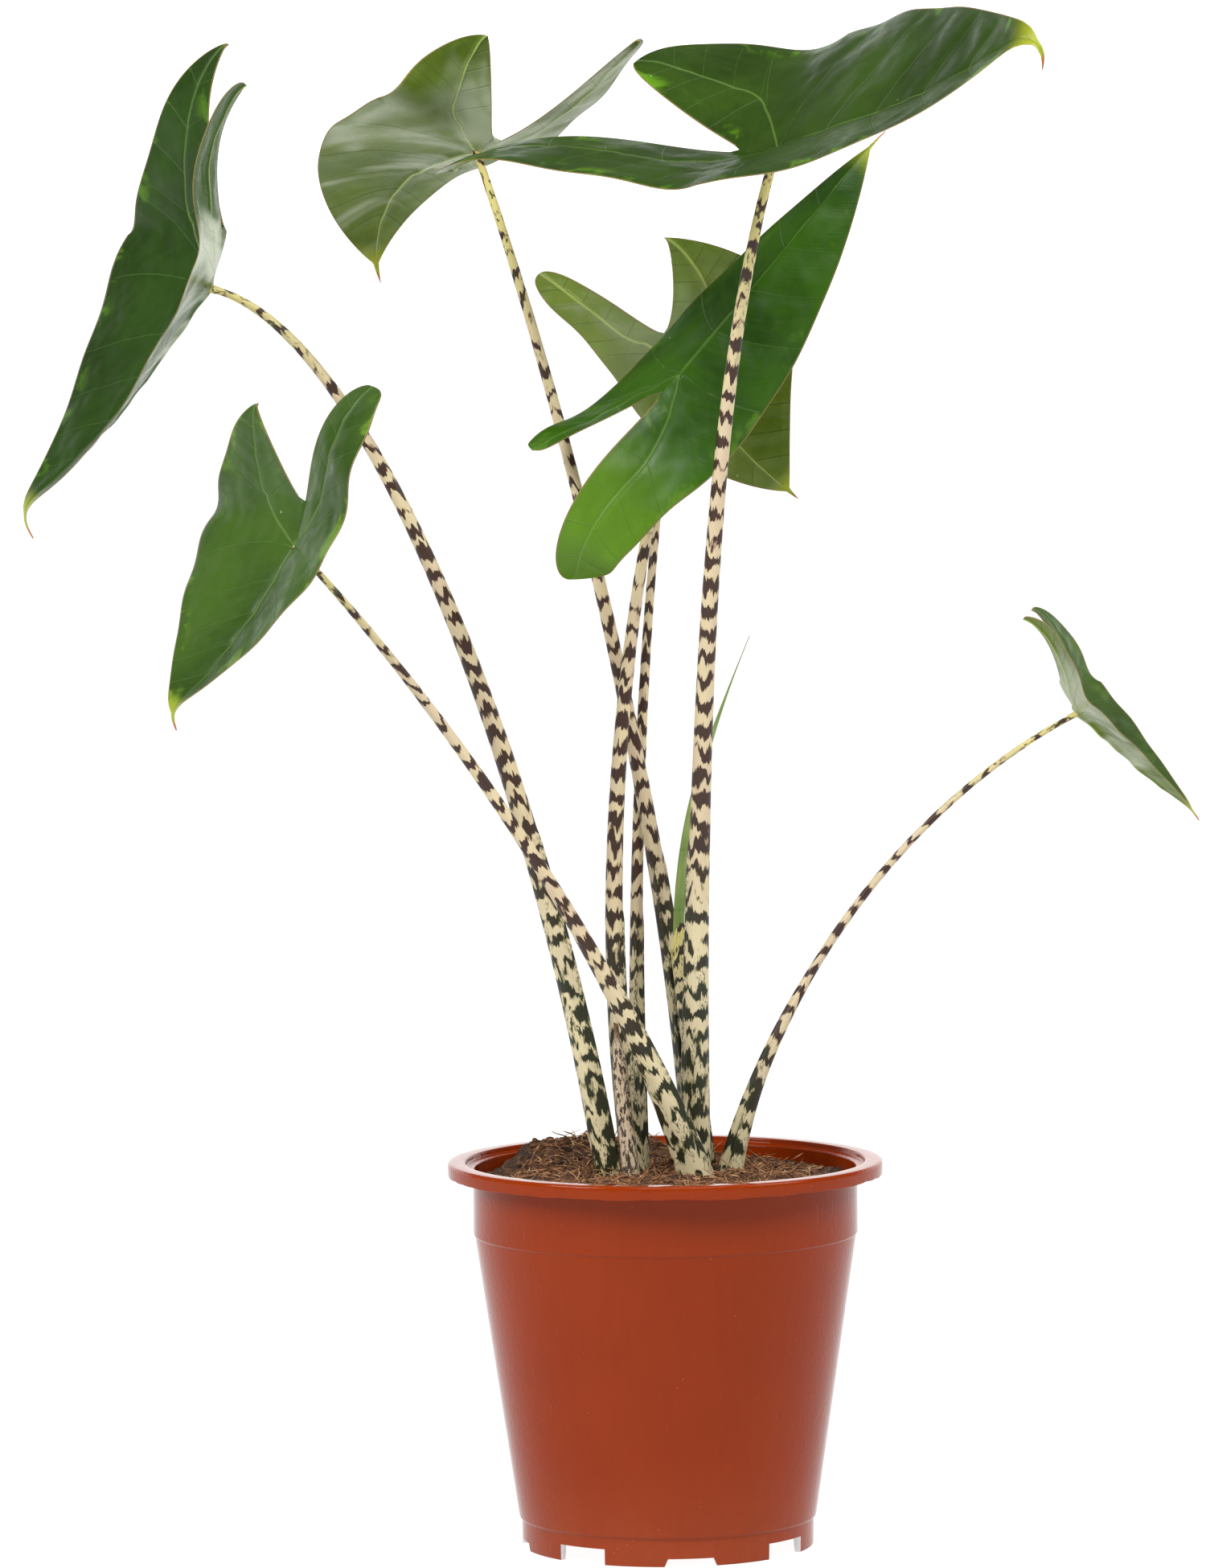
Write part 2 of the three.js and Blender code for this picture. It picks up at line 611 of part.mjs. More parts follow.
function soilSolid(cutters) {
  const wallRadius = (z) => {
    const share = (z - SKIRT_HEIGHT) / (STEP_HEIGHT - SKIRT_HEIGHT);
    const outer = blend([BOTTOM_RADIUS, TOP_RADIUS - STEP_DEPTH], Math.min(1, share));
    return outer - WALL - 2 * GAP;
  };
  const low = FLOOR_HEIGHT + 2 + GAP;
  const profile = [ringOf(0, low), ringOf(wallRadius(SKIRT_HEIGHT) - 1, low)];
  profile.push(ringOf(wallRadius(SKIRT_HEIGHT), SKIRT_HEIGHT + 4));
  profile.push(ringOf(wallRadius(STEP_HEIGHT), STEP_HEIGHT));
  const topRadius = TOP_RADIUS - WALL - 3 * GAP;
  const rings = 6;
  for (let k = rings; k >= 0; k--) {
    profile.push(ringOf((topRadius * k) / rings, SOIL_HEIGHT));
  }
  const geometry = new THREE.LatheGeometry(profile, POT_SEGMENTS).rotateX(Math.PI / 2);
  const position = geometry.attributes.position;
  for (let i = 0; i < position.count; i++) {
    if (position.getZ(i) > SOIL_HEIGHT - 1) {
      position.setZ(i, soilTop(position.getX(i), position.getY(i)));
    }
  }
  return cutters.reduce((soil, cutter) => soil.subtract(cutter), toSolid(geometry));
}

function cormSolid(corm, clearance) {
  const wide = corm.radius + clearance;
  const top = CORM_TOP + clearance;
  const low = CORM_TOP - CORM_DEPTH - clearance;
  const profile = [ringOf(0, low)];
  const rounds = 5;
  for (let k = 1; k <= rounds; k++) {
    const angle = (k / rounds) * (Math.PI / 2);
    profile.push(ringOf(wide * Math.sin(angle), top - 8 - (top - 8 - low) * Math.cos(angle)));
  }
  profile.push(ringOf(wide - 0.5, top));
  profile.push(ringOf(0, top));
  const geometry = new THREE.LatheGeometry(profile, 20).rotateX(Math.PI / 2);
  geometry.translate(corm.x, corm.y, 0);
  return toSolid(geometry);
}

// Assembly

const root = new THREE.Group();
const plant = new THREE.Group();
root.add(plant);

function addPiece(name, solid, colour, roughness) {
  const material = new THREE.MeshStandardMaterial({ color: colour, roughness, metalness: 0 });
  const mesh = new THREE.Mesh(toGeometry(solid), material);
  mesh.name = name;
  plant.add(mesh);
}

function addPot() {
  addPiece("pot", potSolid(), COLOURS.pot, 0.4);
}

const cormSeats = [CORM_LEFT, CORM_RIGHT].map((corm) => cormSolid(corm, GAP));

function seatOnCorms(solid, cutters = []) {
  return largestBody([...cormSeats, ...cutters].reduce((cut, cutter) => cut.subtract(cutter), solid));
}

function addSoilAndCorms() {
  const stalks = Object.keys(STALKS).map((name) => stalkSolid(name, GAP));
  const sheaths = [NEW_SHEATH, OLD_BASE].map((part) => sheathSolid(part, GAP));
  addPiece("soil", soilSolid([...stalks, ...sheaths, ...cormSeats]), COLOURS.soil, 0.95);
  addPiece("corm_left", cormSolid(CORM_LEFT, 0), COLOURS.corm, 0.8);
  addPiece("corm_right", cormSolid(CORM_RIGHT, 0), COLOURS.corm, 0.8);
}

// A stalk is cut back from the underside of its blade, so that the blade sits on it
function addLeaf(name) {
  const sheet = bladeSheet(LEAVES[name]);
  const blade = toSolid(thicken(sheet, BLADE_THICKNESS, KEEL_DEPTH));
  const seat = toSolid(thicken(sheet, BLADE_THICKNESS + 2 * GAP, KEEL_DEPTH));
  addPiece("blade_" + name, blade, COLOURS.blade, 0.45);
  addPiece("petiole_" + name, seatOnCorms(stalkSolid(name, 0), [seat]), COLOURS.stalk, 0.5);
}

function addYoungAndOldLeaf() {
  const sheath = seatOnCorms(sheathSolid(NEW_SHEATH, 0), [rolledLeaf(GAP)]);
  addPiece("new_leaf_sheath", sheath, COLOURS.stalk, 0.5);
  addPiece("new_leaf", rolledLeaf(0), COLOURS.young, 0.5);
  addPiece("old_leaf_base", seatOnCorms(sheathSolid(OLD_BASE, 0)), COLOURS.withered, 0.8);
}

addPot();
addSoilAndCorms();
Object.keys(LEAVES).forEach(addLeaf);
addYoungAndOldLeaf();

const box = new THREE.Box3().setFromObject(plant);
const middle = box.getCenter(new THREE.Vector3());
plant.position.set(-middle.x, -middle.y, 0);

export default root;
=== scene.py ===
# Potted zebra-stalked alocasia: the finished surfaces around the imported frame.
# Sizes are in millimetres in the pot's own frame: the pot's axis is X = 0, Y = 0 and the ground is Z = 0.
# to_metres() brings points to the row's frame.
import json
import math

import bmesh
import bpy
import numpy as np
from mathutils import Matrix, Vector, noise

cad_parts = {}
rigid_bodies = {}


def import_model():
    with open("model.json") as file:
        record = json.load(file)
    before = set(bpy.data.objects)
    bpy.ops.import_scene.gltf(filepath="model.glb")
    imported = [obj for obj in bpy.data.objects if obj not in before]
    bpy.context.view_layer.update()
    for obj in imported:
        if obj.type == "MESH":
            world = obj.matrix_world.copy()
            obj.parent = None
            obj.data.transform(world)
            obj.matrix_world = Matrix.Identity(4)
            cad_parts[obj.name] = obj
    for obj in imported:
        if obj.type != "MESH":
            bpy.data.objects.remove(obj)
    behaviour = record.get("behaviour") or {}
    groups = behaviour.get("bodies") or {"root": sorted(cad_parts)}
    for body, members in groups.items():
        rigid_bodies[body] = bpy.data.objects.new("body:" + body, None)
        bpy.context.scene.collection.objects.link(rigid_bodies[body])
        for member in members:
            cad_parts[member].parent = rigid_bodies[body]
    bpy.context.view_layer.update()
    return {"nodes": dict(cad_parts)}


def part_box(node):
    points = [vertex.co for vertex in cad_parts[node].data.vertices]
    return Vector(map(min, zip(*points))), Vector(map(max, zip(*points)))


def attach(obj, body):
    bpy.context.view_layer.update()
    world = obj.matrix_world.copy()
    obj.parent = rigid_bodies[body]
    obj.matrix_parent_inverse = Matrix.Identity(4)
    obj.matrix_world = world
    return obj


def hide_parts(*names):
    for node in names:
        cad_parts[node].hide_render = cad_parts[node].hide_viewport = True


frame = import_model()

# The pot
POT_HEIGHT = 169
RIM_RADIUS = 95
COLLAR_FOOT = 163
TOP_RADIUS = 84
STEP_HEIGHT = 137
STEP_DEPTH = 0.6
SKIRT_HEIGHT = 12.5
BOTTOM_RADIUS = 64.8
WALL = 1.6
FLOOR_HEIGHT = 8
FLOOR_THICKNESS = 2
FOOT_WIDTH = 4
FOOT_COUNT = 4
FIRST_FOOT_ANGLE = -81.5
FOOT_GAP_ANGLE = 20
FOOT_NOTCH_ANGLE = 21
FOOT_NOTCH_HEIGHT = 3.5
DRAIN_RADIUS = 6
DRAIN_SIDES = 48
POT_TURN_STEPS = 180
SHARP_EDGE_ANGLE = 38

# The soil and what lies on it
SOIL_HEIGHT = 160
SOIL_MOUND = 12
SOIL_CROWN = 3
SOIL_RINGS = 110
SOIL_TURN_STEPS = 300
CALM_RINGS = 4
FIBRE_COUNT = 1300
STRAND_COUNT = 900
CRUMB_COUNT = 1100
GRIT_COUNT = 60

# The stalks
STALK_FOOT = 127
SHEATH_SHARE = 0.34
GROOVE_DEPTH = 0.3
WING_RISE = 0.14
WING_CREST = 0.2
GROOVE_WIDTH = 0.42
WING_ANGLE = 0.95
WING_WIDTH = 0.35
CREST_ANGLE = 0.85
CREST_WIDTH = 0.13
CREST_LINE_WIDTH = 0.3
FLARE_WIDTH = 0.45
TORN_NARROWING = 0.7
TOP_SWELL = 0.35
SEAT_DEPTH = 0.3
BAND_PERIOD = 10.5
STALK_SIDES = 60
STALK_STEPS = 240

# The leaf blades: mesh fineness, thickness, veins
BLADE_THICKNESS = 0.7
MARGIN_THICKNESS = 0.35
KEEL_DEPTH = 1.4
RIB_GROOVE = 0.35
VALLEY_DEPTH = 0.45
QUILT_DEPTH = 0.8
SPINE_STEPS = 48
FRONT_ROWS = 96
NECK_ROWS = 10
LOBE_ROWS = 46
BLADE_COLUMNS = 52
BEND_STEPS = 16
RIPPLE_WAVES = 5
BODY_END = 0.93
BODY_TAPER = 1.55
BODY_ROUNDING = 0.92
TAIL_WIDTH = 0.03
TAIL_SHARE = 0.1

# The outline of a lobe, each pair for a rounded and a blunt one
LOBE_ROUNDING = (0.62, 0.36)
SINUS_STRAIGHT = (0.7, 0.25)
SINUS_ROUND = (0.3, 0.75)
SINUS_POWER = 0.7

LEFT = 0
RIGHT = 1
MERGE_DISTANCE = 1e-6

# What holds for a leaf where its own entry says nothing else
PLAIN_LEAF = dict(
    droop=0, hook=0, swerve=0, ripple=1, fold_tip=(0, 0), curl=(0, 0), curl_tip=(0, 0),
    lobe_fold=(0, 0), lobe_curl=(0, 0), lift=(0, 0), sag=(0, 0), blunt=(0, 0),
)

# Each leaf: "at" is the junction of stalk and blade, "hook" is how far the thin dry tip bends down, pairs are
# [left, right] as seen from above along the leaf, and angles are in degrees.
LEAVES = {
    "far_left": dict(
        PLAIN_LEAF, at=(-195, 0, 551), heading=185, pitch=-55, roll=-8, length=138, droop=-22, tip=30,
        hook=55, lobe=(88, 102), width=(48, 68), sinus=26, fold=(24, 28), fold_tip=(-2, 12),
        curl=(-10, 0), lobe_fold=(24, 30), lift=(62, 52), sag=(74, 50), spread=(0.45, 0.35),
        blunt=(0.5, -0.8),
    ),
    "low_left": dict(
        PLAIN_LEAF, at=(-157, -66, 442), heading=200, pitch=-58, roll=-10, length=97, droop=-28, tip=40,
        hook=40, lobe=(77, 60), width=(42, 67), sinus=20, fold=(10, 10), fold_tip=(10, 10),
        curl=(-10, -10), curl_tip=(-10, -10), lobe_fold=(0, 10), lobe_curl=(-10, 0), lift=(52, 48),
        sag=(74, 10), spread=(0.55, 0.4), blunt=(1, -0.8),
    ),
    "upper_left": dict(
        PLAIN_LEAF, at=(-79, 40, 610), heading=137, pitch=-8, roll=10, length=115, droop=68, tip=30,
        swerve=-36, lobe=(56, 92), width=(63, 36), sinus=12, fold=(10, 10), lobe_fold=(10, 24),
        lift=(60, 28), spread=(0.45, 0.5), blunt=(-0.3, 0.5),
    ),
    "upper_right": dict(
        PLAIN_LEAF, at=(51, -50, 610), heading=-42, pitch=14, roll=29, length=166, droop=-18, tip=48,
        hook=95, lobe=(90, 145), width=(80, 60), sinus=20, fold=(16, 16), fold_tip=(26, -10),
        curl=(-20, -8), curl_tip=(-10, -20), lobe_fold=(2, 20), lobe_curl=(-24, -5), lift=(42, 46),
        sag=(0, 58), spread=(0.4, 0.5), blunt=(0.3, 1),
    ),
    "middle": dict(
        PLAIN_LEAF, at=(9, 8, 512), heading=30, pitch=45, roll=40, length=150, tip=10, lobe=(72, 132),
        width=(36, 42), sinus=12, fold=(-36, -38), fold_tip=(-30, -24), curl=(0, -10),
        curl_tip=(0, -10), lobe_fold=(-30, -42), lift=(35, 48), sag=(60, 118), spread=(1.25, 0.55),
        blunt=(0, 0.7),
    ),
    "behind": dict(
        PLAIN_LEAF, at=(9, 64, 517), heading=-10, pitch=-62, roll=-85, length=83, tip=10, swerve=-26,
        lobe=(63, 50), width=(31, 56), sinus=13, fold=(10, 10), spread=(1.2, 0.36), blunt=(0.2, -1.2),
    ),
    "right": dict(
        PLAIN_LEAF, at=(183, 20, 362), heading=0, pitch=-43, roll=0, length=71, droop=-8, tip=20,
        lobe=(48, 48), width=(28, 26), sinus=16, fold=(34, 18), fold_tip=(30, 18), curl=(0, -10),
        lobe_fold=(20, 20), lift=(52, 46), sag=(60, 64), spread=(0.45, 0.45), ripple=0.5,
    ),
}

# What holds for a stalk where its own entry says nothing else. "flare" is the width of the foot's flare to
# the left and the share of the stalk that it covers, "torn" and "slant" shape an open top.
PLAIN_STALK = dict(flare=(0, 1), torn=0, slant=0)

# Each stalk: two points that bend it, its radius at the foot, the sheath's end and the top, and the heading
# of its groove
STALKS = {
    "far_left": dict(
        PLAIN_STALK, foot=(-20, -8), rise=(-41, -6, 300), reach=(-119, 4, 536),
        radius=(5.6, 4.6, 1.4), groove=20,
    ),
    "low_left": dict(
        PLAIN_STALK, foot=(24, -11), rise=(-1, -22, 240), reach=(-104, -46, 385),
        radius=(6.6, 3.6, 1.2), groove=40, flare=(2.5, 0.5),
    ),
    "upper_left": dict(
        PLAIN_STALK, foot=(15, 23), rise=(8, 14, 290), reach=(-35, 30, 480),
        radius=(4.8, 3.7, 1.7), groove=-60,
    ),
    "upper_right": dict(
        PLAIN_STALK, foot=(14, 1), rise=(14, -2, 300), reach=(17, -36, 500), radius=(6, 4.5, 2),
        groove=130,
    ),
    "middle": dict(
        PLAIN_STALK, foot=(-8, 0), rise=(-37, -4, 280), reach=(-13, 22, 420),
        radius=(4.8, 3.9, 1.7), groove=30,
    ),
    "behind": dict(
        PLAIN_STALK, foot=(-11, 14), rise=(-15, 20, 270), reach=(-9, 38, 420),
        radius=(4.2, 2.8, 1.3), groove=-40,
    ),
    "right": dict(
        PLAIN_STALK, foot=(27, 3), rise=(27, 9, 215), reach=(95, 14, 318),
        radius=(4.4, 2.2, 1.1), groove=180, flare=(6, 0.5),
    ),
}
NEW_SHEATH = dict(
    PLAIN_STALK, foot=(22, 12), rise=(16, 14, 190), reach=(9, 13, 230), top=(6, 12, 272),
    radius=(3.9, 3.6, 3.4), groove=20, slant=16,
)
OLD_BASE = dict(
    PLAIN_STALK, foot=(-11, -18), rise=(-15, -16, 165), reach=(-19, -14, 200), top=(-21, -11, 229),
    radius=(4.2, 3.4, 2.6), groove=180, torn=3,
)

# The rolled leaf: the points that bend it, its radius and length, and where its cross veins lie
NEW_LEAF_ENDS = ((6.5, 12, 252), (6, 12, 310), (17, 15, 345), (39, 20, 397))
NEW_LEAF_RADIUS = 2.3
NEW_LEAF_LENGTH = 140
NEW_LEAF_RINGS = (22, 47, 69, 88)

# Veins of a blade's half: where each leaves the midrib as a share of the length, its slope and its bend
LATERALS = (
    (0.0, -0.8, 0.25),
    (0.0, 0.05, 0.3),
    (0.17, 0.38, 0.32),
    (0.34, 0.52, 0.34),
    (0.51, 0.62, 0.36),
    (0.68, 0.7, 0.38),
)
LOBE_VEINS = (0.3, 0.48, 0.66, 0.82)
LOBE_RIB_SHARE = 0.42
LOBE_RIB_LEAVES = 0.38
LOBE_VEIN_SLOPE = 0.6
LOBE_VEIN_BEND = -0.006
FLOW_BEND = 0.32
VEINLESS = 0.45
VEIN_MARGIN = 0.25

# Colours of the surfaces, as 0 to 255 on a display
TONES = dict(
    terracotta=(135, 43, 2),
    light_terracotta=(150, 52, 5),
    flow_mark=(120, 40, 8),
    scuff=(196, 120, 88),
    dust=(190, 120, 90),
    pale_speck=(220, 150, 110),
    peat=(36, 22, 14),
    brown_peat=(104, 70, 46),
    peat_grain=(150, 104, 68),
    bark=(34, 21, 14),
    brown_bark=(116, 78, 50),
    bark_grain=(136, 94, 62),
    coir=(92, 56, 32),
    light_coir=(168, 116, 74),
    straw=(214, 174, 126),
    perlite=(206, 196, 178),
    white_perlite=(246, 242, 232),
    upper_vein=(104, 146, 62),
    upper_rib=(118, 154, 70),
    lower_vein=(82, 102, 28),
    lower_rib=(168, 184, 96),
    # whitish colour of the painted sheen on the leaf backs, standing in for glossy highlights
    painted_sheen=(204, 211, 188),
    pale_dot=(196, 204, 168),
    dry_margin=(136, 112, 66),
    yellow_tip=(172, 180, 50),
    brown_tip=(190, 104, 44),
    cream=(214, 198, 158),
    dull_cream=(206, 186, 156),
    sheath_cream=(222, 214, 172),
    green_cream=(214, 202, 116),
    cream_streak=(190, 168, 120),
    band=(62, 42, 33),
    sheath_band=(42, 44, 26),
    band_fringe=(124, 90, 64),
    sheath_fringe=(112, 110, 62),
    fine_speck=(52, 58, 34),
    young_green=(112, 136, 66),
    pale_young_green=(136, 156, 84),
    young_line=(98, 124, 58),
    young_tip=(104, 140, 58),
    young_ring=(84, 116, 40),
    stump_speck=(58, 48, 34),
    stump_streak=(150, 118, 92),
    withered=(74, 50, 32),
    light_withered=(140, 104, 70),
    rootstock=(84, 54, 34),
    light_rootstock=(140, 104, 72),
    floor=(72, 72, 72),
    light_floor=(80, 80, 80),
)

# Per leaf: dark and light green of the upper face, its bright patches, and how much of them there is. On the
# middle leaf the bright tone also paints a highlight over the right lobe.
LEAF_TONES = {
    "far_left": ((26, 48, 2), (38, 68, 6), (92, 136, 30), 0.5),
    "low_left": ((42, 68, 14), (62, 92, 26), (116, 154, 40), 0.6),
    "upper_left": ((40, 64, 16), (58, 84, 26), (96, 132, 38), 0.3),
    "upper_right": ((32, 54, 4), (48, 74, 12), (92, 140, 22), 0.9),
    "middle": ((32, 66, 0), (54, 98, 2), (100, 142, 30), 0.5),
    "behind": ((40, 64, 16), (58, 84, 26), (96, 132, 38), 0.3),
    "right": ((46, 66, 22), (66, 92, 34), (104, 136, 46), 0.3),
}

# Dark and light green of the backs that differ from the rest, and how much painted sheen they get
LEAF_BACKS = {
    "far_left": ((42, 72, 14), (62, 94, 28), 0.9),
    "behind": ((86, 108, 26), (114, 134, 50), 0.2),
}
PALE_BACK = ((78, 100, 24), (106, 126, 46), 0.5)

# The camera stands where the photograph was taken from
EYE = (-25.7, -3600, 612)
AIM = (-25.7, 0, 334)
CAMERA_ROLL = -0.5
FOCAL_PIXELS = 10308
FRAME_HEIGHT_PIXELS = 1950
SENSOR = 36

# The softboxes: place, width and height in metres, power in watts. They face the middle of the plant.
SOFTBOXES = {
    "left_softbox": ((-2.0, -1.4, 1.9), (1.3, 1.3), 56),
    "right_softbox": ((2.1, -0.6, 2.3), (1.3, 1.3), 42),
    "top_softbox": ((0.2, -1.5, 2.3), (1.8, 1.2), 38),
}
PLANT_MIDDLE = (0, 0, 0.35)

pot_low, pot_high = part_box("pot")
POT_AXIS = np.array([(pot_low.x + pot_high.x) / 2, (pot_low.y + pot_high.y) / 2, 0])


def to_metres(points):
    return np.asarray(points, float) / 1000 + POT_AXIS


def soft_step(x):
    x = np.clip(x, 0, 1)
    return x * x * (3 - 2 * x)


def ramp(x, start, length):
    """0 up to the start, 1 from this length on, and smooth between."""
    return soft_step((x - start) / length)


def between(pair, share):
    return pair[0] + (pair[1] - pair[0]) * share


def bell(x):
    return np.exp(-x * x)


def within_half_turn(angle):
    return np.arctan2(np.sin(angle), np.cos(angle))


# Nodes


class Nodes:
    """A node tree. Each call adds one node and gives back what it puts out."""

    def __init__(self, tree):
        self.tree = tree

    def feed(self, socket, value):
        if isinstance(value, bpy.types.NodeSocket):
            self.tree.links.new(value, socket)
        else:
            socket.default_value = value

    def node(self, kind, inputs=None, **settings):
        made = self.tree.nodes.new(kind)
        for key, value in settings.items():
            setattr(made, key, value)
        for key, value in (inputs or {}).items():
            self.feed(made.inputs[key], value)
        return made.outputs

    def calc(self, operation, a, b=0.0):
        return self.node("ShaderNodeMath", {0: a, 1: b}, operation=operation)[0]

    def times(self, a, b):
        return self.calc("MULTIPLY", a, b)

    def plus(self, a, b):
        return self.calc("ADD", a, b)

    def minus(self, a, b):
        return self.calc("SUBTRACT", a, b)

    def larger(self, a, b):
        return self.calc("MAXIMUM", a, b)

    def parts(self, vector):
        return self.node("ShaderNodeSeparateXYZ", {0: vector})

    def joined(self, x, y, z):
        return self.node("ShaderNodeCombineXYZ", {0: x, 1: y, 2: z})[0]

    def stretched(self, vector, scales):
        return self.node("ShaderNodeVectorMath", {0: vector, 1: scales}, operation="MULTIPLY")[0]

    def span(self, value, low, high, to_low=0.0, to_high=1.0):
        """A smooth step of a value from low to high."""
        limits = dict(enumerate((value, low, high, to_low, to_high)))
        return self.node("ShaderNodeMapRange", limits, interpolation_type="SMOOTHSTEP")[0]


def tone(given):
    """A socket as it is, and a colour, or the name of one, as the shader's linear colour."""
    if isinstance(given, bpy.types.NodeSocket):
        return given
    channels = [c / 255 for c in TONES.get(given, given)]
    linear = [c / 12.92 if c <= 0.04045 else ((c + 0.055) / 1.055) ** 2.4 for c in channels]
    return (*linear, 1)


class Finish(Nodes):
    """A procedural material."""

    def __init__(self, name):
        self.material = bpy.data.materials.new(name)
        self.material.use_nodes = True
        super().__init__(self.material.node_tree)
        self.surface = self.tree.nodes["Principled BSDF"]
        self.place = self.node("ShaderNodeTexCoord")["Object"]

    def attribute(self, name, output="Fac"):
        return self.node("ShaderNodeAttribute", attribute_name=name)[output]

    def noise(self, where, scale, detail=2.0, roughness=0.5, distortion=0.0):
        values = {"Scale": scale, "Detail": detail, "Roughness": roughness, "Distortion": distortion}
        return self.node("ShaderNodeTexNoise", {"Vector": where, **values})["Fac"]

    def drawn(self, where, scales, *settings):
        """Noise with a scale of its own along each axis."""
        return self.noise(self.stretched(where, scales), 1, *settings)

    def mix(self, share, first, second):
        return self.node("ShaderNodeMix", {0: share, 6: tone(first), 7: tone(second)}, data_type="RGBA")[2]

    def layers(self, colour, *layers):
        """A colour with others laid over it in turn, each by its share."""
        for share, layer in layers:
            colour = self.mix(share, colour, layer)
        return colour

    def bump(self, height, distance, below=None):
        inputs = {"Height": height, "Distance": distance}
        if below is not None:
            inputs["Normal"] = below
        return self.node("ShaderNodeBump", inputs)[0]

    def done(self, colour, roughness, normal=None, **constants):
        self.feed(self.surface.inputs["Base Color"], colour)
        self.feed(self.surface.inputs["Roughness"], roughness)
        if normal is not None:
            self.feed(self.surface.inputs["Normal"], normal)
        for key, value in constants.items():
            self.surface.inputs[key.replace("_", " ")].default_value = value
        return self.material


# Finishes of the pot, the soil and the floor


def pot_finish():
    """Terracotta-brown moulded plastic: faint flow marks, fine scuffs and a little dust."""
    f = Finish("moulded_terracotta_plastic")
    height = f.parts(f.place)[2]
    streak = f.drawn(f.place, (260, 260, 7), 3, 0.6)
    scuff = f.span(f.drawn(f.place, (900, 900, 60), 2, 0.7), 0.66, 0.76)
    cells = f.node("ShaderNodeTexVoronoi", {"Vector": f.place, "Scale": 330})["Distance"]
    rare = f.span(f.noise(f.place, 90, 1), 0.6, 0.68)
    speck = f.times(f.span(cells, 0.11, 0.05), rare)
    dust = f.times(f.span(height, 0.05, 0.0), f.noise(f.place, 60, 4, 0.7))
    colour = f.layers(
        "terracotta",
        (f.noise(f.place, 14, 3), "light_terracotta"),
        (f.span(streak, 0.35, 0.75, 0, 0.14), "flow_mark"),
        (f.times(scuff, 0.07), "scuff"),
        (f.times(dust, 0.15), "dust"),
        (f.times(speck, 0.4), "pale_speck"),
    )
    roughness = f.span(f.noise(f.place, 120, 4, 0.6), 0.3, 0.75, 0.06, 0.11)
    roughness = f.plus(roughness, f.times(scuff, 0.1))
    peel = f.bump(f.noise(f.place, 420, 2), 0.00012)
    normal = f.bump(f.plus(f.times(streak, 0.5), scuff), 0.00008, peel)
    return f.done(colour, roughness, normal, Specular_IOR_Level=0.18)


def soil_finish():
    """Dark moist peat mix."""
    f = Finish("peat_mix")
    clods = f.noise(f.place, 160, 6, 0.7)
    grains = f.noise(f.place, 900, 3, 0.7)
    colour = f.layers(
        "peat",
        (f.span(clods, 0.35, 0.7), "brown_peat"),
        (f.span(grains, 0.55, 0.8), "peat_grain"),
    )
    height = f.plus(clods, f.times(grains, 0.4))
    return f.done(colour, f.span(clods, 0.3, 0.7, 0.75, 0.98), f.bump(height, 0.0012))


def crumb_finish():
    """Clods of peat and bits of composted bark."""
    f = Finish("peat_crumbs")
    grain = f.noise(f.place, 1100, 4, 0.7)
    colour = f.layers(
        "bark",
        (f.span(f.noise(f.place, 140, 2), 0.35, 0.65), "brown_bark"),
        (f.span(grain, 0.5, 0.8), "bark_grain"),
    )
    return f.done(colour, 0.93, f.bump(grain, 0.0008))


def fibre_finish():
    """Coir: reddish brown to pale straw strands."""
    f = Finish("coir_fibre")
    cloud = f.noise(f.place, 210, 2, 0.6)
    grain = f.noise(f.place, 2400, 2)
    colour = f.layers(
        "coir",
        (f.span(cloud, 0.36, 0.56), "light_coir"),
        (f.span(cloud, 0.55, 0.68), "straw"),
    )
    return f.done(colour, f.span(grain, 0.3, 0.7, 0.55, 0.8), f.bump(grain, 0.0002))


def grit_finish():
    """White grains of perlite."""
    f = Finish("perlite")
    grain = f.noise(f.place, 1600, 4, 0.7)
    colour = f.mix(f.span(grain, 0.4, 0.7), "perlite", "white_perlite")
    return f.done(colour, 0.9, f.bump(grain, 0.0006))


def floor_finish():
    """A plain pale light table."""
    f = Finish("pale_floor")
    colour = f.mix(f.noise(f.place, 6, 3), "floor", "light_floor")
    return f.done(colour, 0.7, Emission_Color=(1, 1, 1, 1), Emission_Strength=0.96)


# Finishes of the plant


def vein_line(f, veins, half_width):
    """A thin line along the whole numbers of a vein phase, as far as the veins reach."""
    phase, gap, fade = f.parts(f.attribute(veins, "Vector"))
    off = f.calc("ABSOLUTE", f.minus(phase, f.calc("ROUND", phase)))
    return f.times(f.span(f.times(off, gap), half_width, half_width * 0.2), fade)


def blade_veins(f, at):
    """The side veins and the ribs of a blade, as thin lines."""
    lateral = f.larger(vein_line(f, "front_veins", 0.5), f.times(vein_line(f, "lobe_veins", 0.42), 0.8))
    rib_width = f.span(at["reach"], 0, 1, 1.1, 0.4)
    midrib_line = f.span(f.calc("DIVIDE", f.calc("ABSOLUTE", at["across"]), rib_width), 1, 0.3)
    midrib_line = f.times(midrib_line, f.span(at["along"], -5, -1))
    lobe_line = f.span(f.calc("ABSOLUTE", at["off_lobe_rib"]), 0.9, 0.25)
    return lateral, f.larger(midrib_line, f.times(lobe_line, f.span(at["along"], 1, -1)))


